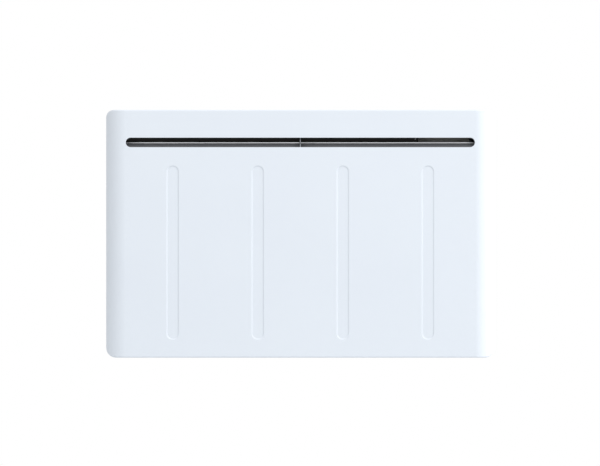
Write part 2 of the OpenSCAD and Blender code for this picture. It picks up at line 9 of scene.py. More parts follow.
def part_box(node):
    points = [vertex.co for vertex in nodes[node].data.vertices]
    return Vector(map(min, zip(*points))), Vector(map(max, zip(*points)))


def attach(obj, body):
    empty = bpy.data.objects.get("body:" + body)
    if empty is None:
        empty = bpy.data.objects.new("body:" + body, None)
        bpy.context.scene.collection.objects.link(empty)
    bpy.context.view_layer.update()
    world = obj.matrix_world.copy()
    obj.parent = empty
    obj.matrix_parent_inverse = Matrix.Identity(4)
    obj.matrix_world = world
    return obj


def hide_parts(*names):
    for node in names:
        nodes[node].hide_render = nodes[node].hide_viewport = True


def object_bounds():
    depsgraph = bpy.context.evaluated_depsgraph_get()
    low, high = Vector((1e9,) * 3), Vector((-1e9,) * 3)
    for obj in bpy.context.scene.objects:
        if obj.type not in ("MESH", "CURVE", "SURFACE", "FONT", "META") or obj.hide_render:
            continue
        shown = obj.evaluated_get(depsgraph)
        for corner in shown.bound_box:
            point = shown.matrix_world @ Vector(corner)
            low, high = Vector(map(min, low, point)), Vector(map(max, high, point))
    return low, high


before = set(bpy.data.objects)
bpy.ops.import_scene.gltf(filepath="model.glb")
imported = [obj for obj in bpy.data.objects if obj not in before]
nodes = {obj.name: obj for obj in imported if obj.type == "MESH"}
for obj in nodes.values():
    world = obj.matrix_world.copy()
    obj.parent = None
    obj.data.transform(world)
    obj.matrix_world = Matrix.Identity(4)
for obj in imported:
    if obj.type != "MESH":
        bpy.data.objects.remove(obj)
cad_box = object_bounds()


# ---------- Wall frame ----------
# Two rails, two uprights, two side brackets and a service plate, folded from hot-dip galvanised steel sheet.
# The upper rail's lip carries the modules' hooks, and the shelf of the lower rail takes their feet.

def linear(code):
    """The linear RGBA of an sRGB hex colour such as "#e6ecf4"."""
    shares = [int(code[i:i + 2], 16) / 255 for i in (1, 3, 5)]
    return [s / 12.92 if s <= 0.04045 else ((s + 0.055) / 1.055) ** 2.4 for s in shares] + [1.0]


def add(tree, kind, inputs=None, **settings):
    """Adds a node: settings are its own properties, inputs a value or the output that feeds each socket."""
    made = tree.nodes.new(kind)
    for name, value in settings.items():
        setattr(made, name, value)
    for socket, value in (inputs or {}).items():
        if isinstance(value, bpy.types.NodeSocket):
            tree.links.new(value, made.inputs[socket])
        else:
            made.inputs[socket].default_value = value
    return made


def coated(name, light, dark, patch_mm, gloss, grain_mm, grain_depth_mm, metallic=0.0, sockets=None):
    """A finish whose colour and roughness drift over patches, with a fine grain in relief.

    gloss is the roughness at its smoothest and its roughest. Returns the material, its tree, its shader, the
    object coordinates and the relief so far, so that a finish can lay more on top.
    """
    made = bpy.data.materials.new(name)
    made.use_nodes = True
    tree = made.node_tree
    shader = tree.nodes["Principled BSDF"]
    shader.inputs["Metallic"].default_value = metallic
    for socket, value in (sockets or {}).items():
        shader.inputs[socket].default_value = value
    coords = add(tree, "ShaderNodeTexCoord").outputs["Object"]
    patches = add(tree, "ShaderNodeTexNoise", {"Vector": coords, "Scale": 1000 / patch_mm, "Detail": 3.0})
    colour = add(tree, "ShaderNodeMix", {0: patches.outputs[0], 6: linear(dark), 7: linear(light)},
                 data_type="RGBA")
    tree.links.new(colour.outputs[2], shader.inputs["Base Color"])
    rough = add(tree, "ShaderNodeMapRange", {"Value": patches.outputs[0], "From Min": 0.3, "From Max": 0.7,
                                             "To Min": gloss[0], "To Max": gloss[1]})
    tree.links.new(rough.outputs[0], shader.inputs["Roughness"])
    grain = add(tree, "ShaderNodeTexNoise", {"Vector": coords, "Scale": 1000 / grain_mm, "Detail": 2.0})
    bump = add(tree, "ShaderNodeBump", {"Height": grain.outputs[0], "Distance": grain_depth_mm / 1000})
    tree.links.new(bump.outputs[0], shader.inputs["Normal"])
    return made, tree, shader, coords, bump.outputs[0]


def galvanised_steel():
    """Hot-dip galvanised steel: zinc crystals 9 mm across, each catching the light at its own shade."""
    made, tree, shader, coords, _ = coated("hot_dip_galvanised_steel", "#b4b9bd", "#8d9398", 60, (0.34, 0.5),
                                           2.0, 0.02, metallic=0.9)
    crystals = add(tree, "ShaderNodeTexVoronoi", {"Vector": coords, "Scale": 1000 / 9})
    shade = add(tree, "ShaderNodeSeparateColor", {0: crystals.outputs["Color"]})
    spangle = add(tree, "ShaderNodeMix", {0: shade.outputs[0], 6: linear("#979ca1"), 7: linear("#bcc1c4")},
                  data_type="RGBA")
    dull = add(tree, "ShaderNodeMapRange", {"Value": shade.outputs[1], "To Min": 0.3, "To Max": 0.56})
    tree.links.new(spangle.outputs[2], shader.inputs["Base Color"])
    tree.links.new(dull.outputs[0], shader.inputs["Roughness"])
    return made


def fit(name, mesh, finish, body, stands_for=(), crease=32):
    """Puts a mesh in the scene as a piece: smooth up to the crease angle, finished, and riding on its body."""
    made = bpy.data.objects.new(name, mesh)
    bpy.context.scene.collection.objects.link(made)
    mesh.materials.clear()
    mesh.materials.append(finish)
    mesh.polygons.foreach_set("use_smooth", [True] * len(mesh.polygons))
    if crease:
        mesh.set_sharp_from_angle(angle=math.radians(crease))
    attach(made, body)
    if stands_for:
        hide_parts(*stands_for)
    return made


def eased(node, edge):
    """A merged copy of a CAD node's mesh, its sharp edges rounded by edge metres as a press leaves them."""
    work = bmesh.new()
    work.from_mesh(nodes[node].data)
    bmesh.ops.remove_doubles(work, verts=work.verts, dist=2e-6)
    bmesh.ops.dissolve_limit(work, angle_limit=math.radians(0.5), verts=work.verts, edges=work.edges)
    sharp = [e for e in work.edges if len(e.link_faces) == 2 and e.calc_face_angle(0) > math.radians(32)]
    bmesh.ops.bevel(work, geom=sharp, offset=edge, offset_type="OFFSET", segments=2, profile=0.5,
                    affect="EDGES", clamp_overlap=False)
    mesh = bpy.data.meshes.new(node)
    work.to_mesh(mesh)
    work.free()
    return mesh


def stand_in(node, made_as, mesh, finish, body="frame", crease=32):
    """A mesh as the piece that stands for a CAD node: named after it, given the finish, with the node hidden.
    """
    return fit(f"{node}_{made_as}", mesh, finish, body, (node,), crease)


def eased_piece(node, made_as, finish, edge, body="frame"):
    """The CAD node's own shape with its edges eased, as the piece that stands for it."""
    return stand_in(node, made_as, eased(node, edge), finish, body)


zinc_sheet = galvanised_steel()
for node in ("upper_rail", "lower_rail", "uprights", "left_side_bracket", "right_side_bracket",
             "service_plate"):
    eased_piece(node, "pressing", zinc_sheet, 0.0006)


# ---------- Frame bolts, lid screws and wiring box screws ----------
# Steel fasteners with a bright zinc plating. The frame's are M8 hexagon bolts. The lids' M5 and the wiring
# box's M4 screws have pan heads with a hexagon socket, so that the lids go on with a key.

def islands(node):
    """The solids of a CAD node as (low corner, high corner, centre), from left to right and low to high."""
    work = bmesh.new()
    work.from_mesh(nodes[node].data)
    bmesh.ops.remove_doubles(work, verts=work.verts, dist=2e-6)
    unseen = set(work.verts)
    found = []
    while unseen:
        front = [unseen.pop()]
        corners = []
        while front:
            vert = front.pop()
            corners.append(vert.co[:])
            for edge in vert.link_edges:
                other = edge.other_vert(vert)
                if other in unseen:
                    unseen.discard(other)
                    front.append(other)
        low, high = Vector(np.min(corners, axis=0)), Vector(np.max(corners, axis=0))
        found.append((low, high, (low + high) / 2))
    work.free()
    return sorted(found, key=lambda solid: (round(solid[0].x, 4), round(solid[0].z, 4)))


SOCKET_KINDS = {int: "NodeSocketInt", float: "NodeSocketFloat", str: "NodeSocketMaterial"}


def geometry_group(name, inputs):
    """Starts a Geometry Nodes group. inputs maps each size's name to its usual value; "" is a material."""
    tree = bpy.data.node_groups.new(name, "GeometryNodeTree")
    tree.interface.new_socket("Geometry", in_out="OUTPUT", socket_type="NodeSocketGeometry")
    tree.interface.new_socket("Geometry", in_out="INPUT", socket_type="NodeSocketGeometry")
    for label, value in inputs.items():
        socket = tree.interface.new_socket(label, in_out="INPUT", socket_type=SOCKET_KINDS[type(value)])
        if value != "":
            socket.default_value = value
    return tree, add(tree, "NodeGroupInput").outputs


def close_group(tree, result, material):
    """Ends a group: its instances are made real and take the material."""
    real = add(tree, "GeometryNodeRealizeInstances", {"Geometry": result})
    done = add(tree, "GeometryNodeSetMaterial", {"Geometry": real.outputs[0], "Material": material})
    add(tree, "NodeGroupOutput", {"Geometry": done.outputs[0]})


def grow(name, tree, values, points, faces=(), edges=()):
    """Runs a group on a shape, which may be points alone, and returns the result as a plain mesh."""
    seed = bpy.data.meshes.new(name)
    seed.from_pydata(points, edges, faces)
    holder = bpy.data.objects.new(name, seed)
    bpy.context.scene.collection.objects.link(holder)
    modifier = holder.modifiers.new("grow", "NODES")
    modifier.node_group = tree
    for item in tree.interface.items_tree:
        if item.in_out == "INPUT" and item.name in values:
            modifier[item.identifier] = values[item.name]
    evaluated = holder.evaluated_get(bpy.context.evaluated_depsgraph_get())
    mesh = bpy.data.meshes.new_from_object(evaluated)
    holder.modifiers.remove(modifier)
    bpy.data.objects.remove(holder)
    bpy.data.meshes.remove(seed)
    return mesh


def fastener_group():
    """A screw with its head forward on every point: washer, head, hexagon socket and shank."""
    tree, size = geometry_group("zinc_fasteners", {
        "Head radius": 0.0045, "Head height": 0.003, "Head sides": 32, "Head taper": 0.8,
        "Socket radius": 0.002, "Washer radius": 0.005, "Washer height": 0.0008, "Shank radius": 0.0025,
        "Shank length": 0.016, "Material": ""})
    washer = add(tree, "GeometryNodeMeshCylinder", {"Vertices": 32, "Radius": size["Washer radius"],
                                                    "Depth": size["Washer height"]})
    top_radius = add(tree, "ShaderNodeMath", {0: size["Head radius"], 1: size["Head taper"]},
                     operation="MULTIPLY")
    head = add(tree, "GeometryNodeMeshCone", {
        "Vertices": size["Head sides"], "Radius Bottom": size["Head radius"],
        "Radius Top": top_radius.outputs[0], "Depth": size["Head height"]})
    socket = add(tree, "GeometryNodeMeshCylinder", {"Vertices": 6, "Radius": size["Socket radius"],
                                                    "Depth": size["Head height"]})
    above = add(tree, "ShaderNodeCombineXYZ", {"Z": size["Head height"]})
    sunk = add(tree, "GeometryNodeTransform", {"Geometry": socket.outputs[0], "Translation": above.outputs[0]})
    cut = add(tree, "GeometryNodeMeshBoolean", operation="DIFFERENCE")
    tree.links.new(head.outputs[0], cut.inputs["Mesh 1"])
    tree.links.new(sunk.outputs[0], cut.inputs["Mesh 2"])
    shank = add(tree, "GeometryNodeMeshCylinder", {"Vertices": 12, "Radius": size["Shank radius"],
                                                   "Depth": size["Shank length"]})
    half = add(tree, "ShaderNodeMath", {0: size["Shank length"], 1: -0.5}, operation="MULTIPLY")
    below = add(tree, "ShaderNodeCombineXYZ", {"Z": half.outputs[0]})
    screwed_in = add(tree, "GeometryNodeTransform", {"Geometry": shank.outputs[0],
                                                     "Translation": below.outputs[0]})
    whole = add(tree, "GeometryNodeJoinGeometry")
    for part in (washer.outputs[0], cut.outputs[0], screwed_in.outputs[0]):
        tree.links.new(part, whole.inputs[0])
    forward = [math.pi / 2, 0, 0]
    placed = add(tree, "GeometryNodeInstanceOnPoints", {
        "Points": size["Geometry"], "Instance": whole.outputs[0], "Rotation": forward})
    close_group(tree, placed.outputs[0], size["Material"])
    return tree


def zinc_plate():
    """Bright zinc plate: bluish silver with faint clouding and fine turning marks."""
    return coated("bright_zinc_plate", "#cdd1d6", "#aab0b8", 9, (0.2, 0.36), 0.6, 0.01, metallic=1.0)[0]


def screw_set(node, name, values):
    """Puts one screw under the head of each solid of a CAD node."""
    heads = [(centre.x, low.y + values["Head height"], centre.z) for low, high, centre in islands(node)]
    mesh = grow(name, fasteners, {**values, "Material": zinc_bright}, heads)
    return fit(name, mesh, zinc_bright, "frame", (node,), crease=25)


fasteners = fastener_group()
zinc_bright = zinc_plate()
# A bolt turned by its own hexagon has no socket, so the group's is made too small to see.
screw_set("frame_bolts", "frame_hexagon_bolts", {
    "Head radius": 0.0075, "Head height": 0.005, "Head sides": 6, "Head taper": 0.97, "Socket radius": 0.0001,
    "Washer radius": 0.0085, "Washer height": 0.0016, "Shank radius": 0.004, "Shank length": 0.012})
screw_set("lid_screws", "lid_pan_screws", {
    "Head radius": 0.0045, "Head height": 0.003, "Shank length": 0.016})
screw_set("wiring_box_screws", "wiring_box_pan_screws", {
    "Head radius": 0.0036, "Head height": 0.0024, "Socket radius": 0.0016, "Washer radius": 0.0042,
    "Shank radius": 0.002})


# ---------- Ball studs ----------
# Turned steel studs, zinc plated, one at each corner of the frame. The cover's nylon clips press over their
# balls.

def loft(rings, closed=False):
    """Skins equal rings of points, one after the other: capped at both ends, or closed end to end."""
    n = len(rings[0])
    starts = [(k * n, (k + 1) % len(rings) * n) for k in range(len(rings) if closed else len(rings) - 1)]
    faces = [(this + i, this + (i + 1) % n, after + (i + 1) % n, after + i)
             for this, after in starts for i in range(n)]
    if not closed:
        faces += [tuple(range(n))[::-1], tuple(range((len(rings) - 1) * n, len(rings) * n))]
    return [point for ring in rings for point in ring], faces


def lathe(profile, centre, axis="Y", sides=40, closed=False):
    """Turns a profile of (radius, distance along the axis) pairs about an axis through centre."""
    order = {"X": (2, 0, 1), "Y": (0, 2, 1), "Z": (0, 1, 2)}[axis]
    rings = []
    for radius, along in profile:
        ring = []
        for i in range(sides):
            angle = 2 * math.pi * i / sides
            flat = (radius * math.cos(angle), radius * math.sin(angle), along)
            ring.append(tuple(centre[k] + flat[order[k]] for k in range(3)))
        rings.append(ring)
    return loft(rings, closed)


def joined(parts):
    """Several (points, faces) shapes as one."""
    points, faces = [], []
    for some_points, some_faces in parts:
        faces += [tuple(i + len(points) for i in face) for face in some_faces]
        points += [tuple(point) for point in some_points]
    return points, faces


def solid_mesh(shape):
    """A mesh of closed (points, faces) shapes with every face turned outwards."""
    mesh = bpy.data.meshes.new("solid")
    mesh.from_pydata(shape[0], [], shape[1])
    work = bmesh.new()
    work.from_mesh(mesh)
    bmesh.ops.recalc_face_normals(work, faces=work.faces)
    work.to_mesh(mesh)
    work.free()
    return mesh


def ball_stud(low, high, centre):
    """A stud from its flange, at the back, to the ball at its front."""
    ball = 0.005
    flange = high.y - low.y - ball
    sweep = [math.radians(a) for a in range(5, 136, 10)]
    profile = [(ball * math.sin(a), -ball * math.cos(a)) for a in sweep]
    profile += [(0.0034, 0.0045), (0.0034, flange - 0.0042), (0.0042, flange - 0.003), (0.0075, flange - 0.003),
                (0.008, flange - 0.0025), (0.008, flange)]
    return lathe(profile, (centre.x, low.y + ball, centre.z))


studs = joined([ball_stud(*solid) for solid in islands("ball_studs")])
stand_in("ball_studs", "turned", solid_mesh(studs), zinc_bright)


# ---------- Battery cases ----------
# Die-cast aluminium tubs, painted grey, with a bank of tapered cooling fins on the back. Two hooks hang each
# tub on the upper rail, two feet stand it on the shelf, and a flange in front takes the lid.

PLACES = ("left", "middle", "right")


def layered(finish, pattern, inputs, output, depth_mm, **settings):
    """Lays a second pattern in relief over a finish's grain, and returns the material."""
    made, tree, shader, coords, grain = finish
    over = add(tree, pattern, {"Vector": coords, **inputs}, **settings)
    bump = add(tree, "ShaderNodeBump", {"Height": over.outputs[output], "Distance": depth_mm / 1000,
                                        "Normal": grain})
    tree.links.new(bump.outputs[0], shader.inputs["Normal"])
    return made


def box_of(node):
    """A CAD node's box as (low corner, high corner, centre)."""
    low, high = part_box(node)
    return low, high, (low + high) / 2


def rounded(x, z, width, height, radius, steps=8):
    """A round-cornered rectangle about (x, z), as a function of how far it is inset."""
    def outline(inset):
        w, h, r = width / 2 - inset, height / 2 - inset, max(radius - inset, 0.0003)
        ring = []
        for quarter, (sx, sz) in enumerate(((1, 1), (-1, 1), (-1, -1), (1, -1))):
            for k in range(steps + 1):
                angle = math.pi / 2 * (quarter + k / steps)
                ring.append((x + sx * (w - r) + r * math.cos(angle), z + sz * (h - r) + r * math.sin(angle)))
        return ring
    return outline


def skin_through(outline, rows, closed=False):
    """Skins an XZ outline from back to front through (inset, y) rows."""
    return loft([[(x, y, z) for x, z in outline(inset)] for inset, y in rows], closed)


def slab(outline, back, front, edge, steps=3):
    """A plate in the XZ plane from y = back to y = front, its rims rounded by edge."""
    turns = [math.pi / 2 * k / steps for k in range(steps + 1)]
    rows = [(edge * (1 - math.sin(t)), back - edge * (1 - math.cos(t))) for t in turns]
    rows += [(edge * (1 - math.cos(t)), front + edge * (1 - math.sin(t))) for t in turns]
    return skin_through(outline, rows)


def band(outline, width, back, front, edge):
    """A flat ring along an outline, width wide inwards, from y = back to y = front, its four edges eased."""
    section = [(edge, back), (width - edge, back), (width, back - edge), (width, front + edge),
               (width - edge, front), (edge, front), (0, front + edge), (0, back - edge)]
    return skin_through(outline, section, closed=True)


def extrusion(profile, x0, x1, edge):
    """A YZ profile made solid along X, its two ends eased by edge towards the profile's middle."""
    middle = np.mean(profile, axis=0)
    sizes = np.abs(np.array(profile) - middle).max(axis=0)
    shrunk = [middle + (np.array(p) - middle) * (1 - edge / sizes) for p in profile]
    rows = [(x0, shrunk), (x0 + edge, profile), (x1 - edge, profile), (x1, shrunk)]
    return loft([[(x, y, z) for y, z in ring] for x, ring in rows])


def merged(*meshes):
    """Several meshes as one, every closed shape turned outwards."""
    work = bmesh.new()
    for mesh in meshes:
        work.from_mesh(mesh)
    bmesh.ops.recalc_face_normals(work, faces=work.faces)
    whole = bpy.data.meshes.new("merged")
    work.to_mesh(whole)
    work.free()
    return whole


def fin_group():
    """A bank of cast fins side by side, each thinner at its tip, joined to the casting that comes in."""
    tree, size = geometry_group("cooling_fins", {
        "Count": 11, "Pitch": 0.026, "Length": 0.42, "Depth": 0.025, "Root": 0.004, "Tip share": 0.55,
        "Centre X": 0.0, "Root Y": -0.06, "Centre Z": -0.07, "Material": ""})
    block = add(tree, "ShaderNodeCombineXYZ", {"X": size["Root"], "Y": size["Depth"], "Z": size["Length"]})
    fin = add(tree, "GeometryNodeMeshCube", {"Size": block.outputs[0], "Vertices Y": 5})
    place = add(tree, "GeometryNodeInputPosition")
    axes = add(tree, "ShaderNodeSeparateXYZ", {0: place.outputs[0]})
    reach = add(tree, "ShaderNodeMath", {0: axes.outputs["Y"], 1: size["Depth"]}, operation="DIVIDE")
    narrowing = add(tree, "ShaderNodeMapRange", {"Value": reach.outputs[0], "From Min": -0.5, "From Max": 0.5,
                                                 "To Min": 1.0, "To Max": size["Tip share"]})
    slim = add(tree, "ShaderNodeMath", {0: axes.outputs["X"], 1: narrowing.outputs[0]}, operation="MULTIPLY")
    tapered = add(tree, "ShaderNodeCombineXYZ", {"X": slim.outputs[0], "Y": axes.outputs["Y"],
                                                 "Z": axes.outputs["Z"]})
    shaped = add(tree, "GeometryNodeSetPosition", {"Geometry": fin.outputs[0], "Position": tapered.outputs[0]})
    gaps = add(tree, "ShaderNodeMath", {0: size["Count"], 1: -1.0}, operation="ADD")
    span = add(tree, "ShaderNodeMath", {0: gaps.outputs[0], 1: size["Pitch"]}, operation="MULTIPLY")
    first_x = add(tree, "ShaderNodeMath", {0: span.outputs[0], 1: -0.5, 2: size["Centre X"]},
                  operation="MULTIPLY_ADD")
    middle_y = add(tree, "ShaderNodeMath", {0: size["Depth"], 1: 0.5, 2: size["Root Y"]},
                   operation="MULTIPLY_ADD")
    first = add(tree, "ShaderNodeCombineXYZ", {"X": first_x.outputs[0], "Y": middle_y.outputs[0],
                                               "Z": size["Centre Z"]})
    step = add(tree, "ShaderNodeCombineXYZ", {"X": size["Pitch"]})
    row = add(tree, "GeometryNodeMeshLine", {"Count": size["Count"], "Start Location": first.outputs[0],
                                             "Offset": step.outputs[0]})
    bank = add(tree, "GeometryNodeInstanceOnPoints", {"Points": row.outputs[0], "Instance": shaped.outputs[0]})
    whole = add(tree, "GeometryNodeJoinGeometry")
    tree.links.new(size["Geometry"], whole.inputs[0])
    tree.links.new(bank.outputs[0], whole.inputs[0])
    close_group(tree, whole.outputs[0], size["Material"])
    return tree


def cast_case(low, high, centre):
    """A tub, its flange with eight screw bosses, two hooks and two feet, within the CAD case's box."""
    rim, floor, wall, ease = low.y, -0.060, 0.004, 0.0012
    tub = [(wall, floor), (ease, floor - ease), (0.0, floor - wall), (0.0, rim + ease / 2), (ease / 2, rim),
           (wall - ease / 2, rim), (wall, rim + ease / 2), (wall, floor - 2 * wall),
           (wall + ease, floor - wall - ease), (2 * wall, floor - wall)]
    flange = rounded(centre.x, centre.z, high.x - low.x, high.z - low.z, 0.020)
    parts = [skin_through(rounded(centre.x, centre.z, 0.300, 0.480, 0.016), tub),
             band(flange, 0.0145, rim + 0.008, rim, 0.0015)]
    boss = [(0.0058, 0.016), (0.0062, 0.0152), (0.0062, 0.0075), (0.0075, 0.007)]
    hook_root, lip_top, lip_foot, hook_top = floor - 0.002, 0.172, 0.158, 0.186
    hook = [(hook_root, lip_top), (-0.024, lip_top), (-0.024, lip_foot + 0.002), (-0.022, lip_foot),
            (-0.019, lip_foot), (-0.019, hook_top - 0.005), (-0.024, hook_top), (hook_root, hook_top)]
    foot = [(-0.190, low.z), (-0.070, low.z), (-0.074, low.z + 0.015), (-0.186, low.z + 0.015)]
    for side in (-1, 1):
        parts += [lathe(boss, (centre.x + side * 0.1555, rim, centre.z + level * 0.130), sides=20)
                  for level in (-1.5, -0.5, 0.5, 1.5)]
    for side in (-1, 1):
        for profile, out, edge in ((hook, 0.090, 0.001), (foot, 0.100, 0.0015)):
            x = centre.x + side * out
            parts.append(extrusion(profile, x - 0.020, x + 0.020, edge))
    return joined(parts)


def cast_grey(name, light, dark):
    """Painted die casting: semi-matt polyester over a slightly uneven casting skin."""
    paint = coated(name, light, dark, 45, (0.46, 0.62), 3.2, 0.12, sockets={"IOR": 1.48, "Coat Weight": 0.08})
    return layered(paint, "ShaderNodeTexNoise", {"Scale": 1000 / 0.9, "Detail": 1.0}, 0, 0.03)


fins = fin_group()
case_paint = cast_grey("painted_die_cast_aluminium", "#656b71", "#565c61")
for place in PLACES:
    node = f"{place}_battery_case"
    low, high, centre = box_of(node)
    mesh = grow(node, fins, {"Centre X": centre.x, "Material": case_paint}, *cast_case(low, high, centre))
    stand_in(node, "casting", merged(mesh), case_paint)


# ---------- Gaskets ----------
# Closed-cell EPDM rings: one between each case and its lid, squeezed to 3 mm, and one under the wiring box's
# lid. They are cut from sheet.

def foam_rubber():
    """Black EPDM foam: dull, with a fine pore pattern that breaks up the sheen on its edges."""
    skin = coated("epdm_foam", "#2b2d30", "#212326", 14, (0.78, 0.92), 0.8, 0.05)
    return layered(skin, "ShaderNodeTexVoronoi", {"Scale": 1000 / 0.9}, "Distance", 0.06)


foam = foam_rubber()
rings = []
for low, high, centre in islands("lid_gaskets"):
    outline = rounded(centre.x, centre.z, high.x - low.x, high.z - low.z, 0.017)
    rings.append(band(outline, 0.0065, high.y, low.y, 0.0008))
stand_in("lid_gaskets", "foam", solid_mesh(joined(rings)), foam)
eased_piece("wiring_box_seal", "foam", foam, 0.0004)


# ---------- Battery lids ----------
# Flat die castings in the same paint as the cases, painted a shade lighter for the light that falls on them
# (painted light), with a raised panel for the inverters and the isolator and a bank of short ribs that stiffens
# the bare corner.

# Painted light: the cases' grey, a shade lighter, for the light that falls on the lids.
lit_lid_paint = cast_grey("painted_die_cast_lid", "#70767c", "#646a70")
for place in PLACES:
    node = f"{place}_battery_lid"
    low, high, centre = box_of(node)
    outline = rounded(centre.x, centre.z, high.x - low.x, high.z - low.z, 0.020)
    plate = slab(outline, high.y, high.y - 0.006, 0.0012)
    panel = slab(rounded(centre.x, centre.z, 0.292, 0.474, 0.012), high.y - 0.004, low.y, 0.0018)
    mesh = grow(node, fins, {
        "Count": 9, "Pitch": 0.018, "Length": 0.078, "Depth": 0.0026, "Root": 0.003, "Tip share": 1.4,
        "Centre X": centre.x - 0.048, "Root Y": low.y - 0.0014, "Centre Z": 0.137, "Material": lit_lid_paint},
        *joined([plate, panel]))
    stand_in(node, "casting", mesh, lit_lid_paint)


# ---------- Cells ----------
# Sixteen prismatic lithium iron phosphate cells to a module, in blue shrink film, each with two aluminium
# terminals and a burst disc on its front. They stand in two columns with a thin air gap between them.

COLUMN_PITCH, CELL_PITCH = 0.138, 0.047
CELL_THICK = 0.0455


def grid_group():
    """Repeats the shape that comes in over a grid of columns and rows in the XZ plane."""
    tree, size = geometry_group("repeats", {
        "Columns": 2, "Rows": 8, "Pitch X": 0.138, "Pitch Z": 0.047, "First X": 0.0, "First Z": 0.0,
        "Material": ""})
    corner = add(tree, "ShaderNodeCombineXYZ", {"X": size["First X"], "Z": size["First Z"]})
    across = add(tree, "ShaderNodeCombineXYZ", {"X": size["Pitch X"]})
    up = add(tree, "ShaderNodeCombineXYZ", {"Z": size["Pitch Z"]})
    columns = add(tree, "GeometryNodeMeshLine", {"Count": size["Columns"], "Start Location": corner.outputs[0],
                                                 "Offset": across.outputs[0]})
    rows = add(tree, "GeometryNodeMeshLine", {"Count": size["Rows"], "Offset": up.outputs[0]})
    lattice = add(tree, "GeometryNodeInstanceOnPoints", {"Points": columns.outputs[0],
                                                         "Instance": rows.outputs[0]})
    places = add(tree, "GeometryNodeRealizeInstances", {"Geometry": lattice.outputs[0]})
    copies = add(tree, "GeometryNodeInstanceOnPoints", {"Points": places.outputs[0],
                                                        "Instance": size["Geometry"]})
    close_group(tree, copies.outputs[0], size["Material"])
    return tree


def repeated(shape, material, first, counts, pitches):
    """A (points, faces) shape over a grid: first corner, (columns, rows) and their pitches."""
    return grow("repeat", repeats, {
        "Columns": counts[0], "Rows": counts[1], "Pitch X": pitches[0], "Pitch Z": pitches[1],
        "First X": first[0], "First Z": first[1], "Material": material}, *shape)


def shrink_film():
    """Blue shrink film: a tight gloss skin, slightly cloudy, with faint draw lines."""
    skin = coated("blue_shrink_film", "#3f74a8", "#356594", 30, (0.24, 0.38), 5.0, 0.05,
                  sockets={"IOR": 1.54, "Coat Weight": 0.25})
    return layered(skin, "ShaderNodeTexWave", {"Scale": 1000 / 40, "Distortion": 3.0}, "Fac", 0.02,
                   bands_direction="Z")


repeats = grid_group()
film = shrink_film()
for place in PLACES:
    node = f"{place}_battery_cells"
    low, high, centre = box_of(node)
    front = low.y + 0.0035
    wrap = slab(rounded(0, 0, 0.134, CELL_THICK, 0.003, 3), high.y, front, 0.0015)
    disc = lathe([(0.006, front - 0.0004), (0.0068, front - 0.0004), (0.007, front + 0.0002),
                  (0.007, front + 0.002)], (0, 0, 0), sides=20)
    stud = [(0.0055, front - 0.0035), (0.0066, front - 0.0032), (0.007, front - 0.0026),
            (0.007, front - 0.0006), (0.0088, front - 0.0005), (0.009, front), (0.009, front + 0.001)]
    ends = [lathe(stud, (side * 0.045, 0, 0), sides=20) for side in (-1, 1)]
    first = (centre.x - COLUMN_PITCH / 2, low.z + CELL_THICK / 2)
    mesh = repeated(joined([wrap, disc] + ends), film, first, (2, 8), (COLUMN_PITCH, CELL_PITCH))
    stand_in(node, "wrapped", merged(mesh), film)


# ---------- Busbars ----------
# Copper links, 18 mm wide and 3 mm thick, with a hump in the middle that takes up the cells' swelling. A
# zinc-plated nut holds each end on its terminal.

def brushed(name, light, dark, patch_mm, gloss, grain_mm, along, line_mm=0.4):
    """Bare metal drawn or brushed one way, so that its highlight smears across the lines.

    along is the pattern's scale on X, Y and Z: the lines run where it is small.
    """
    metal = coated(name, light, dark, patch_mm, gloss, grain_mm, 0.01, metallic=1.0)
    _, tree, _, coords, _ = metal
    stretched = add(tree, "ShaderNodeMapping", {"Vector": coords, "Scale": along})
    return layered(metal, "ShaderNodeTexNoise", {"Vector": stretched.outputs[0], "Scale": 1000 / line_mm}, 0,
                   0.01)


def link_strip(length, front, thick=0.003, hump=0.004):
    """A copper link standing along Z, its hump towards the front, as a skin of bands."""
    reach = length / 2
    half, ease = 0.009, 0.0005
    path = [(-reach, 0), (-0.009, 0), (-0.006, 0.3), (-0.003, 0.85), (0, 1), (0.003, 0.85), (0.006, 0.3),
            (0.009, 0), (reach, 0)]
    rows = []
    for along, rise in path:
        near, far = front - rise * hump, front + thick - rise * hump
        section = [(ease - half, far), (-half, far - ease), (-half, near + ease), (ease - half, near),
                   (half - ease, near), (half, near + ease), (half, far - ease), (half - ease, far)]
        rows.append([(x, y, along) for x, y in section])
    return loft(rows)


# Warm and brushed along the link, with tarnish creeping in over patches.
bare_copper = brushed("brushed_copper", "#c9825a", "#9a5c3c", 22, (0.28, 0.46), 1.2, [1, 1, 0.04], 0.35)
for place in PLACES:
    node = f"{place}_battery_busbars"
    low, high, centre = box_of(node)
    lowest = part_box(f"{place}_battery_cells")[0].z + CELL_THICK / 2
    strip = link_strip(0.065, low.y)
    nut = [(0.0058, low.y - 0.0048), (0.0065, low.y - 0.0042), (0.0065, low.y - 0.0002)]
    tip = [(0.0022, low.y - 0.007), (0.0028, low.y - 0.0062), (0.0028, low.y + 0.001)]
    nut_on_stud = joined([lathe(nut, (0, 0, 0), sides=6), lathe(tip, (0, 0, 0), sides=12)])
    links, nuts = [], []
    for side in (-1, 1):
        for out, missed in ((0.114, 0), (0.024, 1)):
            x, z = centre.x + side * out, lowest + missed * CELL_PITCH
            links.append(repeated(strip, bare_copper, (x, z + CELL_PITCH / 2), (1, 4 - missed),
                                  (0.0, 2 * CELL_PITCH)))
            nuts.append(repeated(nut_on_stud, zinc_bright, (x, z), (1, 8 - missed), (0.0, CELL_PITCH)))
    top = rounded(centre.x, lowest + 7 * CELL_PITCH, 0.066, 0.018, 0.0088)
    bridge = solid_mesh(slab(top, low.y + 0.003, low.y, 0.0005))
    stand_in(node, "links", merged(*links, bridge), bare_copper)
    fit(f"{place}_battery_terminal_nuts", merged(*nuts), zinc_bright, "frame",
        crease=25)


# ---------- Cell end plates ----------
# Sawn aluminium pressure plates above and below each stack, pulled together by four tie rods.

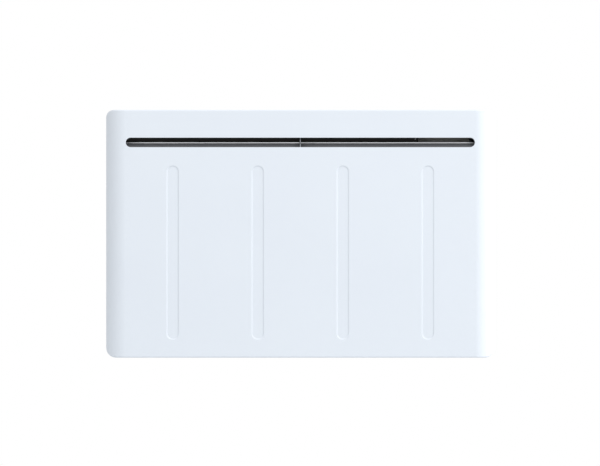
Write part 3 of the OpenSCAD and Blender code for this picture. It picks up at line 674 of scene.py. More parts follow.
# Sawn along X, with a dull streaky sheen.
sawn_aluminium = brushed("sawn_aluminium", "#c6cace", "#a9aeb4", 35, (0.3, 0.44), 2.2, [0.03, 1, 1])
eased_piece("cell_end_plates", "sawn", sawn_aluminium, 0.0006)


# ---------- Control boards ----------
# One battery management board to a module, in green solder mask, with its packages, capacitors and sockets.
# It hangs behind the lid, above the cells. The communications board in the wiring box is made the same way.

def solder_mask():
    """Green solder mask over copper: tracks and pads stand out a shade lighter and a hair proud.

    Tracks and pads are drawn several times coarser than on a real board, so that they show.
    """
    made, tree, shader, coords, grain = coated("green_solder_mask", "#2f7048", "#275f3d", 26, (0.26, 0.36),
                                               1.5, 0.01, sockets={"IOR": 1.52, "Coat Weight": 0.3})
    upright = add(tree, "ShaderNodeMapping", {"Vector": coords, "Rotation": [math.pi / 2, 0, 0]})
    wander = add(tree, "ShaderNodeTexNoise", {"Vector": coords, "Scale": 1000 / 11.0, "Detail": 0.0})
    bent = add(tree, "ShaderNodeVectorMath", {0: wander.outputs["Color"], 1: [0.0018, 0.0018, 0.0018]},
               operation="MULTIPLY")
    routed = add(tree, "ShaderNodeVectorMath", {0: upright.outputs[0], 1: bent.outputs[0]}, operation="ADD")
    tracks = add(tree, "ShaderNodeTexWave", {"Vector": routed.outputs[0], "Scale": 1000 / 26.0},
                 bands_direction="X")
    pads = add(tree, "ShaderNodeTexVoronoi", {"Vector": coords, "Scale": 1000 / 4.2}, distance="CHEBYCHEV")
    pad = add(tree, "ShaderNodeMath", {0: pads.outputs["Distance"], 1: 0.22}, operation="LESS_THAN")
    line = add(tree, "ShaderNodeMath", {0: tracks.outputs["Fac"], 1: 0.86}, operation="GREATER_THAN")
    raised = add(tree, "ShaderNodeMath", {0: pad.outputs[0], 1: line.outputs[0]}, operation="MAXIMUM")
    shade = add(tree, "ShaderNodeMix", {0: raised.outputs[0], 6: linear("#2a6841"), 7: linear("#438a5c")},
                data_type="RGBA")
    tree.links.new(shade.outputs[2], shader.inputs["Base Color"])
    proud = add(tree, "ShaderNodeBump", {"Height": raised.outputs[0], "Distance": 0.00003, "Normal": grain})
    tree.links.new(proud.outputs[0], shader.inputs["Normal"])
    return made


def package_epoxy():
    """Black moulded epoxy of chips and relays: dry and matt with a faint sparkle of filler."""
    return coated("moulded_epoxy", "#2a2b2e", "#1e1f21", 8, (0.5, 0.66), 0.5, 0.02)[0]


def block(x, z, width, height, back, front, edge=0.0004, radius=0.0006):
    """A small rectangular part standing on a board."""
    return slab(rounded(x, z, width, height, radius, 2), back, front, edge, 2)


mask = solder_mask()
epoxy = package_epoxy()
for place in PLACES:
    node = f"{place}_battery_control_board"
    low, high, centre = box_of(node)
    x = centre.x
    back, front = -0.2044, -0.206
    post = [(0.0036, low.y), (0.004, low.y + 0.0004), (0.004, front)]
    laminate = [slab(rounded(x, 0.149, 0.272, 0.062, 0.003), back, front, 0.0002, 2)]
    laminate += [lathe(post, (x + side * 0.128, 0, z), sides=20) for side in (-1, 1) for z in (0.124, 0.174)]
    stand_in(node, "laminate", solid_mesh(joined(laminate)), mask)
    processor = block(x - 0.090, 0.148, 0.040, 0.040, -0.186, back, radius=0.002)
    monitor = block(x - 0.035, 0.147, 0.030, 0.030, -0.192, back)
    relays = [block(x + 0.018 + 0.024 * k, 0.160, 0.016, 0.020, -0.188, back) for k in range(4)]
    capacitor = [(0.0052, -0.190), (0.006, -0.1908), (0.006, back)]
    capacitors = [lathe(capacitor, (x + 0.014 + 0.018 * k, 0, 0.132), sides=20) for k in range(5)]
    pin = block(0, 0, 0.0009, 0.0035, -0.2015, back, 0.0002, 0.0003)
    pins = repeated(pin, epoxy, (x - 0.048, 0.129), (14, 2), (0.002, 0.036))
    parts = solid_mesh(joined([processor, monitor] + relays + capacitors))
    fit(f"{place}_battery_board_parts", merged(parts, pins), epoxy, "frame")

low, high, centre = box_of("comms_board")
back, front = -0.055, -0.0566
laminate = [slab(rounded(0.4235, 0.254, 0.051, 0.056, 0.002), back, front, 0.0002, 2)]
laminate += [lathe([(0.003, high.y), (0.003, back)], (x, 0, z), sides=16) for x in (0.402, 0.445)
             for z in (0.230, 0.278)]
stand_in("comms_board", "laminate", solid_mesh(joined(laminate)), mask)
radio = block(0.417, 0.247, 0.022, 0.022, front, -0.060)
supply = block(0.440, 0.243, 0.012, 0.014, front, -0.067)
aerial = lathe([(0.002, low.y), (0.0028, low.y + 0.001), (0.003, low.y + 0.003), (0.003, -0.059),
                (0.0045, -0.0585), (0.0045, front)], (0.440, 0, 0.268), sides=20)
parts = solid_mesh(joined([radio, supply, aerial]))
fit("comms_board_parts", parts, epoxy, "frame")


# ---------- Inverters ----------
# Four potted microinverters on each lid, in black-painted castings with five ribs. Each is held at its mounting
# plate by four screws and has two round cable sockets above and two below.

def black_casting():
    """Black textured paint on the inverters: matt, with a coarse wrinkle that catches small glints."""
    paint = coated("black_wrinkle_paint", "#34373a", "#292b2e", 30, (0.52, 0.68), 1.6, 0.12)
    return layered(paint, "ShaderNodeTexVoronoi", {"Scale": 1000 / 1.4}, "Distance", 0.05, feature="SMOOTH_F1")


black_paint = black_casting()
for place in PLACES:
    node = f"{place}_battery_inverters"
    low, high, centre = box_of(node)
    x, panel_y, plate_y, body_y = centre.x, high.y, high.y - 0.003, low.y + 0.004
    pitch_x, lower_z, pitch_z = 0.148, -0.193, 0.186
    plate = slab(rounded(0, 0, 0.138, 0.178, 0.006, 4), panel_y, plate_y, 0.0005, 2)
    body = slab(rounded(0, 0, 0.122, 0.150, 0.012), panel_y - 0.002, body_y, 0.003)
    socket = [(0.0062, -0.086), (0.007, -0.0852), (0.007, -0.081), (0.0064, -0.0805), (0.0064, -0.079),
              (0.0078, -0.0785), (0.0078, -0.072)]
    sockets = [lathe([(r, flip * along) for r, along in socket], (side * 0.030, -0.239, 0), "Z", 20)
               for side in (-1, 1) for flip in (1, -1)]
    ribs = [slab(rounded(k * 0.020, 0, 0.003, 0.120, 0.0014, 2), body_y + 0.001, low.y, 0.0008, 2)
            for k in range(-2, 3)]
    castings = repeated(joined([plate, body] + sockets + ribs), black_paint, (x - pitch_x / 2, lower_z), (2, 2),
                        (pitch_x, pitch_z))
    stand_in(node, "castings", merged(castings), black_paint)
    screw = {"Head radius": 0.0032, "Head height": 0.0022, "Socket radius": 0.0014, "Washer radius": 0.0036,
             "Washer height": 0.0005, "Shank radius": 0.0016, "Shank length": 0.005, "Material": zinc_bright}
    heads = [(x + sx * pitch_x / 2 + dx * 0.064, plate_y - screw["Head height"], z + dz * 0.0835)
             for sx in (-1, 1) for z in (lower_z, lower_z + pitch_z) for dx in (-1, 1) for dz in (-1, 1)]
    fit(f"{place}_battery_inverter_screws", grow("screws", fasteners, screw, heads), zinc_bright, "frame",
        crease=25)


# ---------- Isolators ----------
# A light grey switch body on each lid with a dial ring and raised marks, and a red rotary handle that turns a
# quarter to the left for off.

def moulded(name, light, dark, gloss, grain_mm=0.7, sockets=None):
    """Injection-moulded plastic: even colour, with the fine spark-eroded grain of its mould."""
    plastic = coated(name, light, dark, 60, gloss, grain_mm, 0.02, sockets={"IOR": 1.49, **(sockets or {})})
    return layered(plastic, "ShaderNodeTexNoise", {"Scale": 1000 / 9.0, "Detail": 1.0}, 0, 0.04)


def round_group():
    """Repeats the shape that comes in round a circle in the XZ plane, over part of a turn."""
    tree, size = geometry_group("ring_of_marks", {
        "Count": 7, "Step": 0.26, "First angle": 0.0, "Centre X": 0.0, "Centre Y": 0.0, "Centre Z": 0.0,
        "Material": ""})
    centre = add(tree, "ShaderNodeCombineXYZ", {axis: size[f"Centre {axis}"] for axis in "XYZ"})
    points = add(tree, "GeometryNodeMeshLine", {"Count": size["Count"], "Start Location": centre.outputs[0],
                                                "Offset": [0.0, 0.0, 0.0]})
    which = add(tree, "GeometryNodeInputIndex")
    angle = add(tree, "ShaderNodeMath", {0: which.outputs[0], 1: size["Step"], 2: size["First angle"]},
                operation="MULTIPLY_ADD")
    turn = add(tree, "ShaderNodeCombineXYZ", {"Y": angle.outputs[0]})
    marks = add(tree, "GeometryNodeInstanceOnPoints", {
        "Points": points.outputs[0], "Instance": size["Geometry"], "Rotation": turn.outputs[0]})
    close_group(tree, marks.outputs[0], size["Material"])
    return tree


def around(shape, material, centre, count, step, first=0.0):
    """A shape repeated round a centre, step radians apart."""
    return grow("marks", ring_of_marks, {
        "Count": count, "Step": step, "First angle": first, "Centre X": centre[0], "Centre Y": centre[1],
        "Centre Z": centre[2], "Material": material}, *shape)


ring_of_marks = round_group()
# Slightly warm and satin, as a switch body is.
grey_plastic = moulded("light_grey_polycarbonate", "#dcddda", "#d2d3d0", (0.42, 0.52))
# A shade glossier, so that the handle's rounded edges catch the light.
red_plastic = moulded("red_nylon", "#c43a2c", "#b43225", (0.34, 0.46), sockets={"Coat Weight": 0.1})
bodies = []
for low, high, centre in islands("isolator_bodies"):
    face = low.y + 0.002
    case = slab(rounded(centre.x, centre.z, 0.066, 0.066, 0.005), high.y, face, 0.0012)
    ring = [(0.0206, low.y), (0.0254, low.y), (0.026, low.y + 0.0006), (0.026, face + 0.001),
            (0.020, face + 0.001), (0.020, low.y + 0.0006)]
    dial = lathe(ring, (centre.x, 0, centre.z), sides=48, closed=True)
    mark = slab(rounded(0, 0.0295, 0.0012, 0.0032, 0.0005, 2), 0.0005, -0.0006, 0.0003, 2)
    marks = around(mark, grey_plastic, (centre.x, face, centre.z), 5, math.pi / 8, -math.pi / 2)
    bodies += [solid_mesh(case), solid_mesh(dial), marks]
stand_in("isolator_bodies", "moulded", merged(*bodies), grey_plastic)

for place in PLACES:
    node = f"{place}_battery_isolator_lever"
    low, high, centre = box_of(node)
    middle = (centre.x, 0, centre.z)
    back, front = -0.252, -0.262
    hub = lathe([(0.0172, front), (0.0184, front + 0.0006), (0.019, front + 0.002), (0.019, back - 0.001),
                 (0.0182, back), (0.005, back), (0.005, high.y)], middle, sides=48)
    grip = [[(x, y, z) for x, z in rounded(centre.x, centre.z, width, length, width / 2 - 0.0002)(0)]
            for y, width, length in ((front + 0.001, 0.014, 0.060), (front - 0.002, 0.0138, 0.0597),
                                     (front - 0.006, 0.0128, 0.0585), (low.y + 0.003, 0.0122, 0.0575),
                                     (low.y + 0.001, 0.0112, 0.0565), (low.y, 0.0088, 0.054))]
    flute = lathe([(0.0004, front + 0.0015), (0.0007, front + 0.002), (0.0007, back - 0.0015)], (0, 0, 0.0188),
                  sides=8)
    flutes = around(flute, red_plastic, middle, 24, math.pi / 12)
    handle = merged(solid_mesh(joined([hub, loft(grip)])), flutes)
    stand_in(node, "moulded", handle, red_plastic, f"{place}_lever")


# ---------- Cables above the modules ----------
# A round trunk cable in black PVC links the modules to the wiring box. Each module's drop leaves through a
# nylon gland, meets the trunk in a moulded rubber tee, and two clips hold the trunk to the service plate.

def cable_group():
    """Sweeps a round jacket along the line that comes in, its bends filleted."""
    tree, size = geometry_group("cable_runs", {"Radius": 0.006, "Bend": 0.012, "Sides": 24, "Material": ""})
    line = add(tree, "GeometryNodeMeshToCurve", {"Mesh": size["Geometry"]})
    bent = add(tree, "GeometryNodeFilletCurve", {"Curve": line.outputs[0], "Radius": size["Bend"]})
    ring = add(tree, "GeometryNodeCurvePrimitiveCircle", {"Resolution": size["Sides"],
                                                          "Radius": size["Radius"]})
    tube = add(tree, "GeometryNodeCurveToMesh", {"Curve": bent.outputs[0], "Profile Curve": ring.outputs[0],
                                                 "Fill Caps": True})
    close_group(tree, tube.outputs[0], size["Material"])
    return tree


def cable_jacket():
    """Black PVC jacket: a soft sheen, lightly ridged by the cores twisted inside."""
    skin = coated("black_pvc_jacket", "#26282b", "#1d1f21", 30, (0.36, 0.5), 1.0, 0.02)
    return layered(skin, "ShaderNodeTexWave", {"Scale": 1000 / 60, "Distortion": 1.0}, "Fac", 0.15,
                   bands_direction="DIAGONAL")


def along_x(outline, rows):
    """Skins a YZ outline from left to right through (x, inset) rows."""
    return loft([[(x, y, z) for y, z in outline(inset)] for x, inset in rows])


jacket = cable_jacket()
points, edges = [], []
for low, high, centre in islands("trunk_cable"):
    reach = high - centre
    reach = Vector((reach.x, 0, 0)) if reach.x > reach.z else Vector((0, 0, reach.z))
    edges += [(len(points) + k, len(points) + k + 1) for k in range(8)]
    points += [centre + reach * (k / 4 - 1) for k in range(9)]
runs = grow("trunk_cable", cable_group(), {"Bend": 0.0, "Material": jacket}, points, edges=edges)
stand_in("trunk_cable", "jacket", merged(runs), jacket)

# Matt and faintly speckled: glass-filled nylon.
nylon = moulded("black_nylon", "#3c3f42", "#323537", (0.44, 0.56))
gland = [(0.0061, -0.010), (0.008, -0.010), (0.008, 0.0), (0.0138, 0.0), (0.014, 0.0006), (0.014, 0.0112),
         (0.0128, 0.012), (0.0116, 0.0125), (0.0119, 0.0135), (0.0119, 0.0225), (0.0112, 0.0238),
         (0.0082, 0.0298), (0.0061, 0.030)]
box_gland = [(r, -min(along, 0.020) if along >= 0 else 0.011) for r, along in gland[:10]] + [(0.0061, -0.0205)]
glands = []
for low, high, centre in islands("cable_glands"):
    if high.z - low.z > high.x - low.x:
        glands.append(lathe(gland, (centre.x, centre.y, low.z + 0.010), "Z", 36, closed=True))
    else:
        glands.append(lathe(box_gland, (high.x - 0.009, centre.y, centre.z), "X", 36, closed=True))
stand_in("cable_glands", "moulded", solid_mesh(joined(glands)), nylon)
eased_piece("cable_clips", "moulded", nylon, 0.0008)

# Duller and coarser than the nylon, with the bloom of moulded rubber.
rubber = moulded("moulded_tee_rubber", "#2b2d30", "#222427", (0.6, 0.74), grain_mm=1.1)
tees = []
for low, high, centre in islands("cable_tees"):
    body = rounded(centre.y, centre.z, 0.024, 0.024, 0.006)
    rib = rounded(centre.y, centre.z, 0.0248, 0.0248, 0.0062)
    nose = [(0.0, 0.005), (0.002, 0.003), (0.005, 0.0006), (0.007, 0.0)]
    tees.append(along_x(body, [(low.x + along, inset) for along, inset in nose]
                        + [(high.x - along, inset) for along, inset in reversed(nose)]))
    for k in range(-1, 2):
        tees.append(along_x(rib, [(centre.x + 0.006 * k + along, inset) for along, inset in (
            (-0.0009, 0.0004), (-0.0005, 0.0), (0.0005, 0.0), (0.0009, 0.0004))]))
stand_in("cable_tees", "moulded", solid_mesh(joined(tees)), rubber)


# ---------- Wiring box ----------
# A grey polycarbonate box at the right of the service space, where the trunk cable meets the house's conduit.
# It holds a five-way terminal block, a brass earth bar and the communications board.

# Warm grey and satin, a little paler than the steel round it.
box_plastic = moulded("warm_grey_polycarbonate", "#bfbcb5", "#b6b3ac", (0.44, 0.56))
eased_piece("wiring_box", "moulded", box_plastic, 0.0005)
low, high, centre = box_of("wiring_box_lid")
outline = rounded(centre.x, centre.z, high.x - low.x, high.z - low.z, 0.010)
plate = slab(outline, high.y, high.y - 0.003, 0.0008)
panel = slab(rounded(centre.x, centre.z, 0.140, 0.092, 0.008), high.y - 0.002, low.y, 0.0012)
ribbed_lid = grow("wiring_box_lid", fins, {
    "Count": 11, "Pitch": 0.011, "Length": 0.074, "Depth": 0.0015, "Root": 0.002, "Tip share": 1.5,
    "Centre X": centre.x, "Root Y": low.y - 0.0007, "Centre Z": centre.z, "Material": box_plastic},
    *joined([plate, panel]))
stand_in("wiring_box_lid", "moulded", ribbed_lid, box_plastic)

# Pale grey and even, so that the screws stand out on it.
terminal_grey = moulded("terminal_grey_polyamide", "#cdcfca", "#c2c4bf", (0.46, 0.58))
eased_piece("terminal_block", "moulded", terminal_grey, 0.0003)
first_way, way_pitch = Vector((0.319, -0.066, 0.239)), Vector((0.014, 0, 0))
way_screws = grow("terminal_block_screws", fasteners, {
    "Head radius": 0.0034, "Head height": 0.0018, "Head taper": 0.9, "Socket radius": 0.0013,
    "Washer radius": 0.0034, "Washer height": 0.0005, "Shank radius": 0.0016, "Shank length": 0.002,
    "Material": zinc_bright}, [first_way + k * way_pitch for k in range(5)])
fit("terminal_block_screws", way_screws, zinc_bright, "frame", crease=25)

# Warm yellow, streaked along its length and dulled in patches.
brass = brushed("drawn_brass", "#cba85a", "#a98842", 18, (0.28, 0.44), 1.0, [0.03, 1, 1])
eased_piece("earth_bar", "drawn", brass, 0.0003)


# ---------- Conduit hub ----------
# A zinc casting that passes through the box's top wall. Its flat cap closes the notch in the cover, and a
# hexagonal locknut pulls it down from inside the box.

def cast_zinc():
    """Cast zinc with a clear passivate: dull silver with a slightly sandy skin."""
    metal = coated("passivated_cast_zinc", "#a5aaae", "#8b9094", 24, (0.42, 0.58), 1.4, 0.05, metallic=0.85)
    return layered(metal, "ShaderNodeTexNoise", {"Scale": 1000 / 0.45, "Detail": 1.0}, 0, 0.02)


eased_piece("conduit_hub", "casting", cast_zinc(), 0.0005)
eased_piece("hub_locknut", "plated", zinc_bright, 0.0006)


# ---------- Side panel and power button ----------
# A white plastic panel in the frame's right side, filling the cover's notch. The satin aluminium button sits in
# its round recess and presses a sealed switch behind it.

# White and satin, matched to the cover's coat.
panel_white = moulded("white_satin_plastic", "#e8ecf1", "#e2e6ec", (0.4, 0.5))
eased_piece("side_panel", "moulded", panel_white, 0.0006)
low, high, centre = box_of("button_switch")
axle = (0, centre.y, centre.z)
back = low.x + 0.008
switch = [(0.0125, low.x), (0.0132, low.x + 0.0006), (0.0132, back - 0.0008), (0.0125, back), (0.0078, back),
          (0.0075, back + 0.001), (0.004, back + 0.001), (0.004, high.x - 0.0006), (0.0034, high.x)]
# Black and half matt, like the nylon but smoother.
switch_black = moulded("black_switch_plastic", "#2a2c2f", "#212326", (0.42, 0.54))
stand_in("button_switch", "moulded", solid_mesh(lathe(switch, axle, "X")), switch_black)
low, high, centre = box_of("power_button")
face = [(0.0002, high.x - 0.0009), (0.004, high.x - 0.0008), (0.0075, high.x - 0.0004),
        (0.0092, high.x - 0.0001), (0.0098, high.x), (0.0106, high.x - 0.0002), (0.011, high.x - 0.0009),
        (0.011, low.x + 0.0048), (0.0128, low.x + 0.0046), (0.013, low.x + 0.0043), (0.013, low.x + 0.0004),
        (0.0126, low.x)]
# Anodised to a soft even satin, brighter than anything round it.
satin = brushed("satin_anodised_button", "#b9bec4", "#a2a8af", 35, (0.26, 0.36), 2.2, [1, 1, 1])
stand_in("power_button", "turned", solid_mesh(lathe(face, axle, "X", 64)), satin, "button")


# ---------- Front cover ----------
# One shell of 2 mm aluminium sheet, deep drawn with rolled upright edges and four shallow grooves, then punched
# for the vent slot, the side panel, the conduit hub and the air holes, and powder coated white.

def shell_finish():
    """White polyester powder coat: satin, with the faint orange peel that a cured coat has."""
    coat = coated("white_satin_powder_coat", "#e9eff5", "#e5ebf2", 260, (0.4, 0.46), 2.4, 0.012,
                  sockets={"IOR": 1.5, "Coat Weight": 0.1, "Coat Roughness": 0.3})
    return layered(coat, "ShaderNodeTexNoise", {"Scale": 1000 / 0.5, "Detail": 1.0}, 0, 0.004)


# The cover is worked out in millimetres. The skin stops BREAK short of a cut-out all round, and the sheet's
# rounded edge brings the cut-out to its size. SLOT and GROOVES are (middle x, middle z, width, height).
HALF_W, HALF_H = 535.0, 341.0
FACE_Y, REAR_Y = -319.0, -5.0
ROLL = 54.0
FLAT = HALF_W - ROLL
CORNERS = (28.0, 22.0, 22.0, 28.0)
LIP = 4.0
SHEET = 2.0
BREAK = 0.7
SLOT = (0.0, 251.0, 960.0, 26.0)
GROOVES = [(x, -52.0, 31.0, 476.0) for x in (-351.0, -117.0, 117.0, 351.0)]
GROOVE_WALL, GROOVE_DEPTH = 4.6, 2.6
PANEL_Z, PANEL_HALF, PANEL_FRONT = 100.0, 60.0, -120.0
HUB_X, HUB_HALF, HUB_FRONT = 400.0, 35.0, -135.0
NOTCH_RADIUS = 7.0
AIR_HOLE_ROWS, AIR_HOLES, AIR_HOLE_PITCH = (-95.0, -135.0), 12, 78.0
AIR_HOLE_W, AIR_HOLE_H = 60.0, 8.0


def outline_runs():
    """The cover's front outline in millimetres, from the bottom's middle to the right and round.

    Each run is ("line", start, direction, length) or ("arc", centre, start angle, radius).
    """
    br, tr, tl, bl = CORNERS
    right, left = math.pi / 2, math.pi
    return [("line", (0, -HALF_H), (1, 0), HALF_W - br),
            ("arc", (HALF_W - br, -HALF_H + br), -right, br),
            ("line", (HALF_W, -HALF_H + br), (0, 1), 2 * HALF_H - br - tr),
            ("arc", (HALF_W - tr, HALF_H - tr), 0, tr),
            ("line", (HALF_W - tr, HALF_H), (-1, 0), 2 * HALF_W - tr - tl),
            ("arc", (-HALF_W + tl, HALF_H - tl), right, tl),
            ("line", (-HALF_W, HALF_H - tl), (0, -1), 2 * HALF_H - tl - bl),
            ("arc", (-HALF_W + bl, -HALF_H + bl), left, bl),
            ("line", (-HALF_W + bl, -HALF_H), (1, 0), HALF_W - bl)]


def run_length(run):
    """How long a run of the outline is: an arc is always a quarter turn."""
    return run[3] if run[0] == "line" else run[3] * math.pi / 2


def outline_at(s):
    """(x, z, outward x, outward z) at distance s along the outline."""
    for run in outline_runs():
        length = run_length(run)
        if s <= length + 1e-9:
            if run[0] == "line":
                (x, z), (dx, dz) = run[1], run[2]
                return x + dx * s, z + dz * s, dz, -dx
            angle = run[2] + s / run[3]
            c, n = math.cos(angle), math.sin(angle)
            return run[1][0] + run[3] * c, run[1][1] + run[3] * n, c, n
        s -= length
    return 0.0, -HALF_H, 0.0, -1.0


def outline_stations():
    """Distances along the outline, close together where the cover curves."""
    stations, start = [0.0], 0.0
    for run in outline_runs():
        length = run_length(run)
        if run[0] == "arc":
            marks = [length * k / 12 for k in range(1, 13)]
        elif run[2][0] == 0:
            marks = [length * k / 46 for k in range(1, 47)]
        else:
            rolls = sorted({abs(run[1][0] - side) for side in (-FLAT, FLAT)
                            if 1 < abs(run[1][0] - side) < length - 1})
            marks, last = [], 0.0
            for stop in rolls + [length]:
                pitch = 4.0 if stop - last < 60 else 19.0
                count = max(1, round((stop - last) / pitch))
                marks += [last + (stop - last) * k / count for k in range(1, count + 1)]
                last = stop
        stations += [start + m for m in marks]
        start += length
    return stations


def face_point(u, z):
    """The front surface at distance u from the middle along the plan profile: position and normal."""
    turn = (abs(u) - FLAT) / ROLL
    if turn > 0:
        side = math.copysign(1, u)
        here = (side * (FLAT + ROLL * math.sin(turn)), FACE_Y + ROLL * (1 - math.cos(turn)), z)
        return here, (side * math.sin(turn), -math.cos(turn), 0.0)
    sink, slope_x, slope_z = 0.0, 0.0, 0.0
    for gx, gz, width, length in GROOVES:
        reach = length / 2 - width / 2
        near_z = max(-reach, min(reach, z - gz))
        dx, dz = u - gx, z - gz - near_z
        far = math.hypot(dx, dz)
        share = (far - width / 2) / GROOVE_WALL + 0.5
        if share < 1:
            t = max(share, 0.0)
            sink = GROOVE_DEPTH * (1 - t * t * (3 - 2 * t))
            if far > 1e-6:
                steep = -GROOVE_DEPTH * 6 * t * (1 - t) / GROOVE_WALL
                slope_x, slope_z = steep * dx / far, steep * dz / far
    size = math.sqrt(1 + slope_x ** 2 + slope_z ** 2)
    return (u, FACE_Y + sink, z), (slope_x / size, -1 / size, slope_z / size)


def lip_rings():
    """Rings of (position, normal, station) that roll from the front face's edge round to the walls."""
    rings = [[] for _ in range(5)]
    for s in outline_stations():
        x, z, nx, nz = outline_at(s)
        inset = max(0.6, LIP * abs(nz))
        qx, qz = x - nx * inset, z - nz * inset
        turn = math.asin(min(1.0, max(0.0, abs(qx) - FLAT) / ROLL))
        u = math.copysign(FLAT + ROLL * turn, qx) if turn > 0 else qx
        q, q_normal = face_point(u, qz)
        corner_y = q[1] + math.tan(turn) * abs(nx) * inset
        on_face, corner, on_wall = np.array(q), np.array([x, corner_y, z]), np.array([x, corner_y + LIP, z])
        start, end = np.array(q_normal), np.array([nx, 0.0, nz])
        bend = math.acos(max(-1.0, min(1.0, float(start @ end))))
        for k, ring in enumerate(rings):
            t = k / 4
            shares = ((1 - t) ** 2, 2 * t * (1 - t) * math.cos(bend / 2), t ** 2)
            point = (shares[0] * on_face + shares[1] * corner + shares[2] * on_wall) / sum(shares)
            normal = (1 - t) * start + t * end
            ring.append((point, normal / np.linalg.norm(normal), u if k == 0 else s))
    return rings


def stadium_loop(cx, cz, width, height, steps=14, pitch=20.0):
    """Points round a slot shape, lying or standing, along its longer side."""
    lying = width > height
    radius, reach = min(width, height) / 2, abs(width - height) / 2
    count = max(1, round(2 * reach / pitch))
    loop = [(-reach + 2 * reach * k / count, -radius) for k in range(count)]
    loop += [(reach + radius * math.sin(math.pi * k / steps), -radius * math.cos(math.pi * k / steps))
             for k in range(steps)]
    loop += [(-x, -z) for x, z in loop]
    return [(cx + x, cz + z) if lying else (cx - z, cz + x) for x, z in loop]


def clear_of(points, loops, gap):
    """Those points that lie further than gap from every loop's line."""
    kept = np.array(points)
    for loop in loops:
        a = np.array(loop)
        b = np.roll(a, -1, axis=0)
        d = b - a
        rel = kept[:, None, :] - a[None]
        t = np.clip((rel * d).sum(2) / np.maximum((d * d).sum(1), 1e-12), 0, 1)
        far = np.linalg.norm(rel - t[..., None] * d, axis=2).min(1)
        kept = kept[far > gap]
    return [tuple(p) for p in kept]


def inside(point, loop):
    """Whether a loop encloses a point: a ray to the right crosses it an odd number of times."""
    x, z = point
    hit = False
    for (x0, z0), (x1, z1) in zip(loop, loop[1:] + loop[:1]):
        if (z0 > z) != (z1 > z) and x < (x1 - x0) * (z - z0) / (z1 - z0) + x0:
            hit = not hit
    return hit


def chart(outer, holes, creases, scatter, place):
    """Triangulates a flat chart and lifts it: place turns a chart point into (position, normal)."""
    flat, edges = [], []
    for loop in [outer] + holes + creases:
        first = len(flat)
        flat += loop
        edges += [(first + i, first + (i + 1) % len(loop)) for i in range(len(loop))]
    flat += scatter
    found, _, faces, _, _, _ = geometry.delaunay_2d_cdt([Vector(p) for p in flat], edges, [], 1, 1e-4)
    kept = []
    for face in faces:
        middle = tuple(sum(found[i][k] for i in face) / len(face) for k in (0, 1))
        if not any(inside(middle, hole) for hole in holes):
            kept.append(tuple(face))
    return [place(p[0], p[1]) for p in found], kept


def front_chart(face_ring):
    """The front face and its rolled sides, up to the ring where the lip starts."""
    outer = [(u, point[2]) for point, _, u in face_ring[:-1]]
    cx, cz, width, height = SLOT
    slot_edge = stadium_loop(cx, cz, width + 2 * BREAK, height + 2 * BREAK)
    creases, feet = [], []
    for gx, gz, width, length in GROOVES:
        for share in (0, 0.12, 0.28, 0.5, 0.72, 0.88, 1):
            wider = (share - 0.5) * GROOVE_WALL * 2
            creases.append(stadium_loop(gx, gz, width + wider, length + wider))
            if share in (0, 1):
                feet.append(creases[-1])
    roll_u = FLAT + ROLL * math.radians(81)
    scatter = [(side * (FLAT + (roll_u - FLAT) * (k + 0.5 * (row % 2)) / 19), -HALF_H + 13 * row)
               for side in (-1, 1) for k in range(20) for row in range(1, 53)]
    scatter += [(-460 + 40 * i, -325 + 40 * k) for i in range(24) for k in range(17)]
    scatter = [p for p in scatter if inside(p, outer) and not inside(p, slot_edge)]
    scatter = clear_of(clear_of(scatter, [outer], 3.0), [slot_edge] + feet, 6.0)
    return chart(outer, [slot_edge], creases, scatter, face_point)


def notch_path(middle, half, front, rear, steps=6):
    """A notch in the wall chart, from the rear edge forward and back again, its front corners round."""
    half, front, radius = half + BREAK, front - BREAK, NOTCH_RADIUS + BREAK
    path = [(middle - half, rear), (middle - half, (rear + front + radius) / 2)]
    path += [(middle - half + radius * (1 - math.cos(math.pi / 2 * k / steps)),
              front + radius * (1 - math.sin(math.pi / 2 * k / steps))) for k in range(steps + 1)]
    return path + [(2 * middle - s, y) for s, y in reversed(path)]


def wall_chart(wall_ring):
    """The walls behind the lip, unrolled: distance along the outline against Y, down to the rear edge."""
    runs = [run_length(run) for run in outline_runs()]
    total = sum(runs)
    rear = REAR_Y - BREAK
    stations = [s for _, _, s in wall_ring]
    front = [(s, point[1]) for point, _, s in wall_ring]
    panel_s = sum(runs[:2]) + PANEL_Z + HALF_H - CORNERS[0]
    hub_s = sum(runs[:4]) + HALF_W - CORNERS[1] - HUB_X
    notches = [notch_path(panel_s, PANEL_HALF, PANEL_FRONT, rear),
               notch_path(hub_s, HUB_HALF, HUB_FRONT, rear)]
    back = [(s, rear) for s in stations if not any(path[0][0] - 1 < s < path[-1][0] + 1 for path in notches)]
    back = sorted(back + notches[0] + notches[1], key=lambda point: point[0])
    seam = [(0.0, rear + (front[0][1] - rear) * k / 12) for k in range(1, 12)]
    outer = front + [(total, y) for _, y in reversed(seam)] + back[::-1] + seam
    vents = []
    for k in range(AIR_HOLES):
        x = (k - (AIR_HOLES - 1) / 2) * AIR_HOLE_PITCH
        s = x if x > 0 else total + x
        vents += [stadium_loop(s, y, AIR_HOLE_W + 2 * BREAK, AIR_HOLE_H + 2 * BREAK, 8, 12)
                  for y in AIR_HOLE_ROWS]
    scatter = []
    for i, s in enumerate(stations):
        _, _, nx, nz = outline_at(s)
        curved = 0.001 < abs(nx * nz)
        if curved or i % 2 == 0:
            pitch = 14 if curved else 26
            start = front[i][1]
            scatter += [(s, start + pitch * (k + 0.7)) for k in range(int((rear - start) / pitch))]
    scatter = [p for p in scatter if inside(p, outer) and not any(inside(p, v) for v in vents)]
    scatter = clear_of(clear_of(scatter, [outer], 2.5), vents, 2.5)

    def place(s, y):
        x, z, nx, nz = outline_at(min(max(s, 0.0), total))
        return (x, y, z), (nx, 0.0, nz)
    return chart(outer, vents, [], scatter, place)


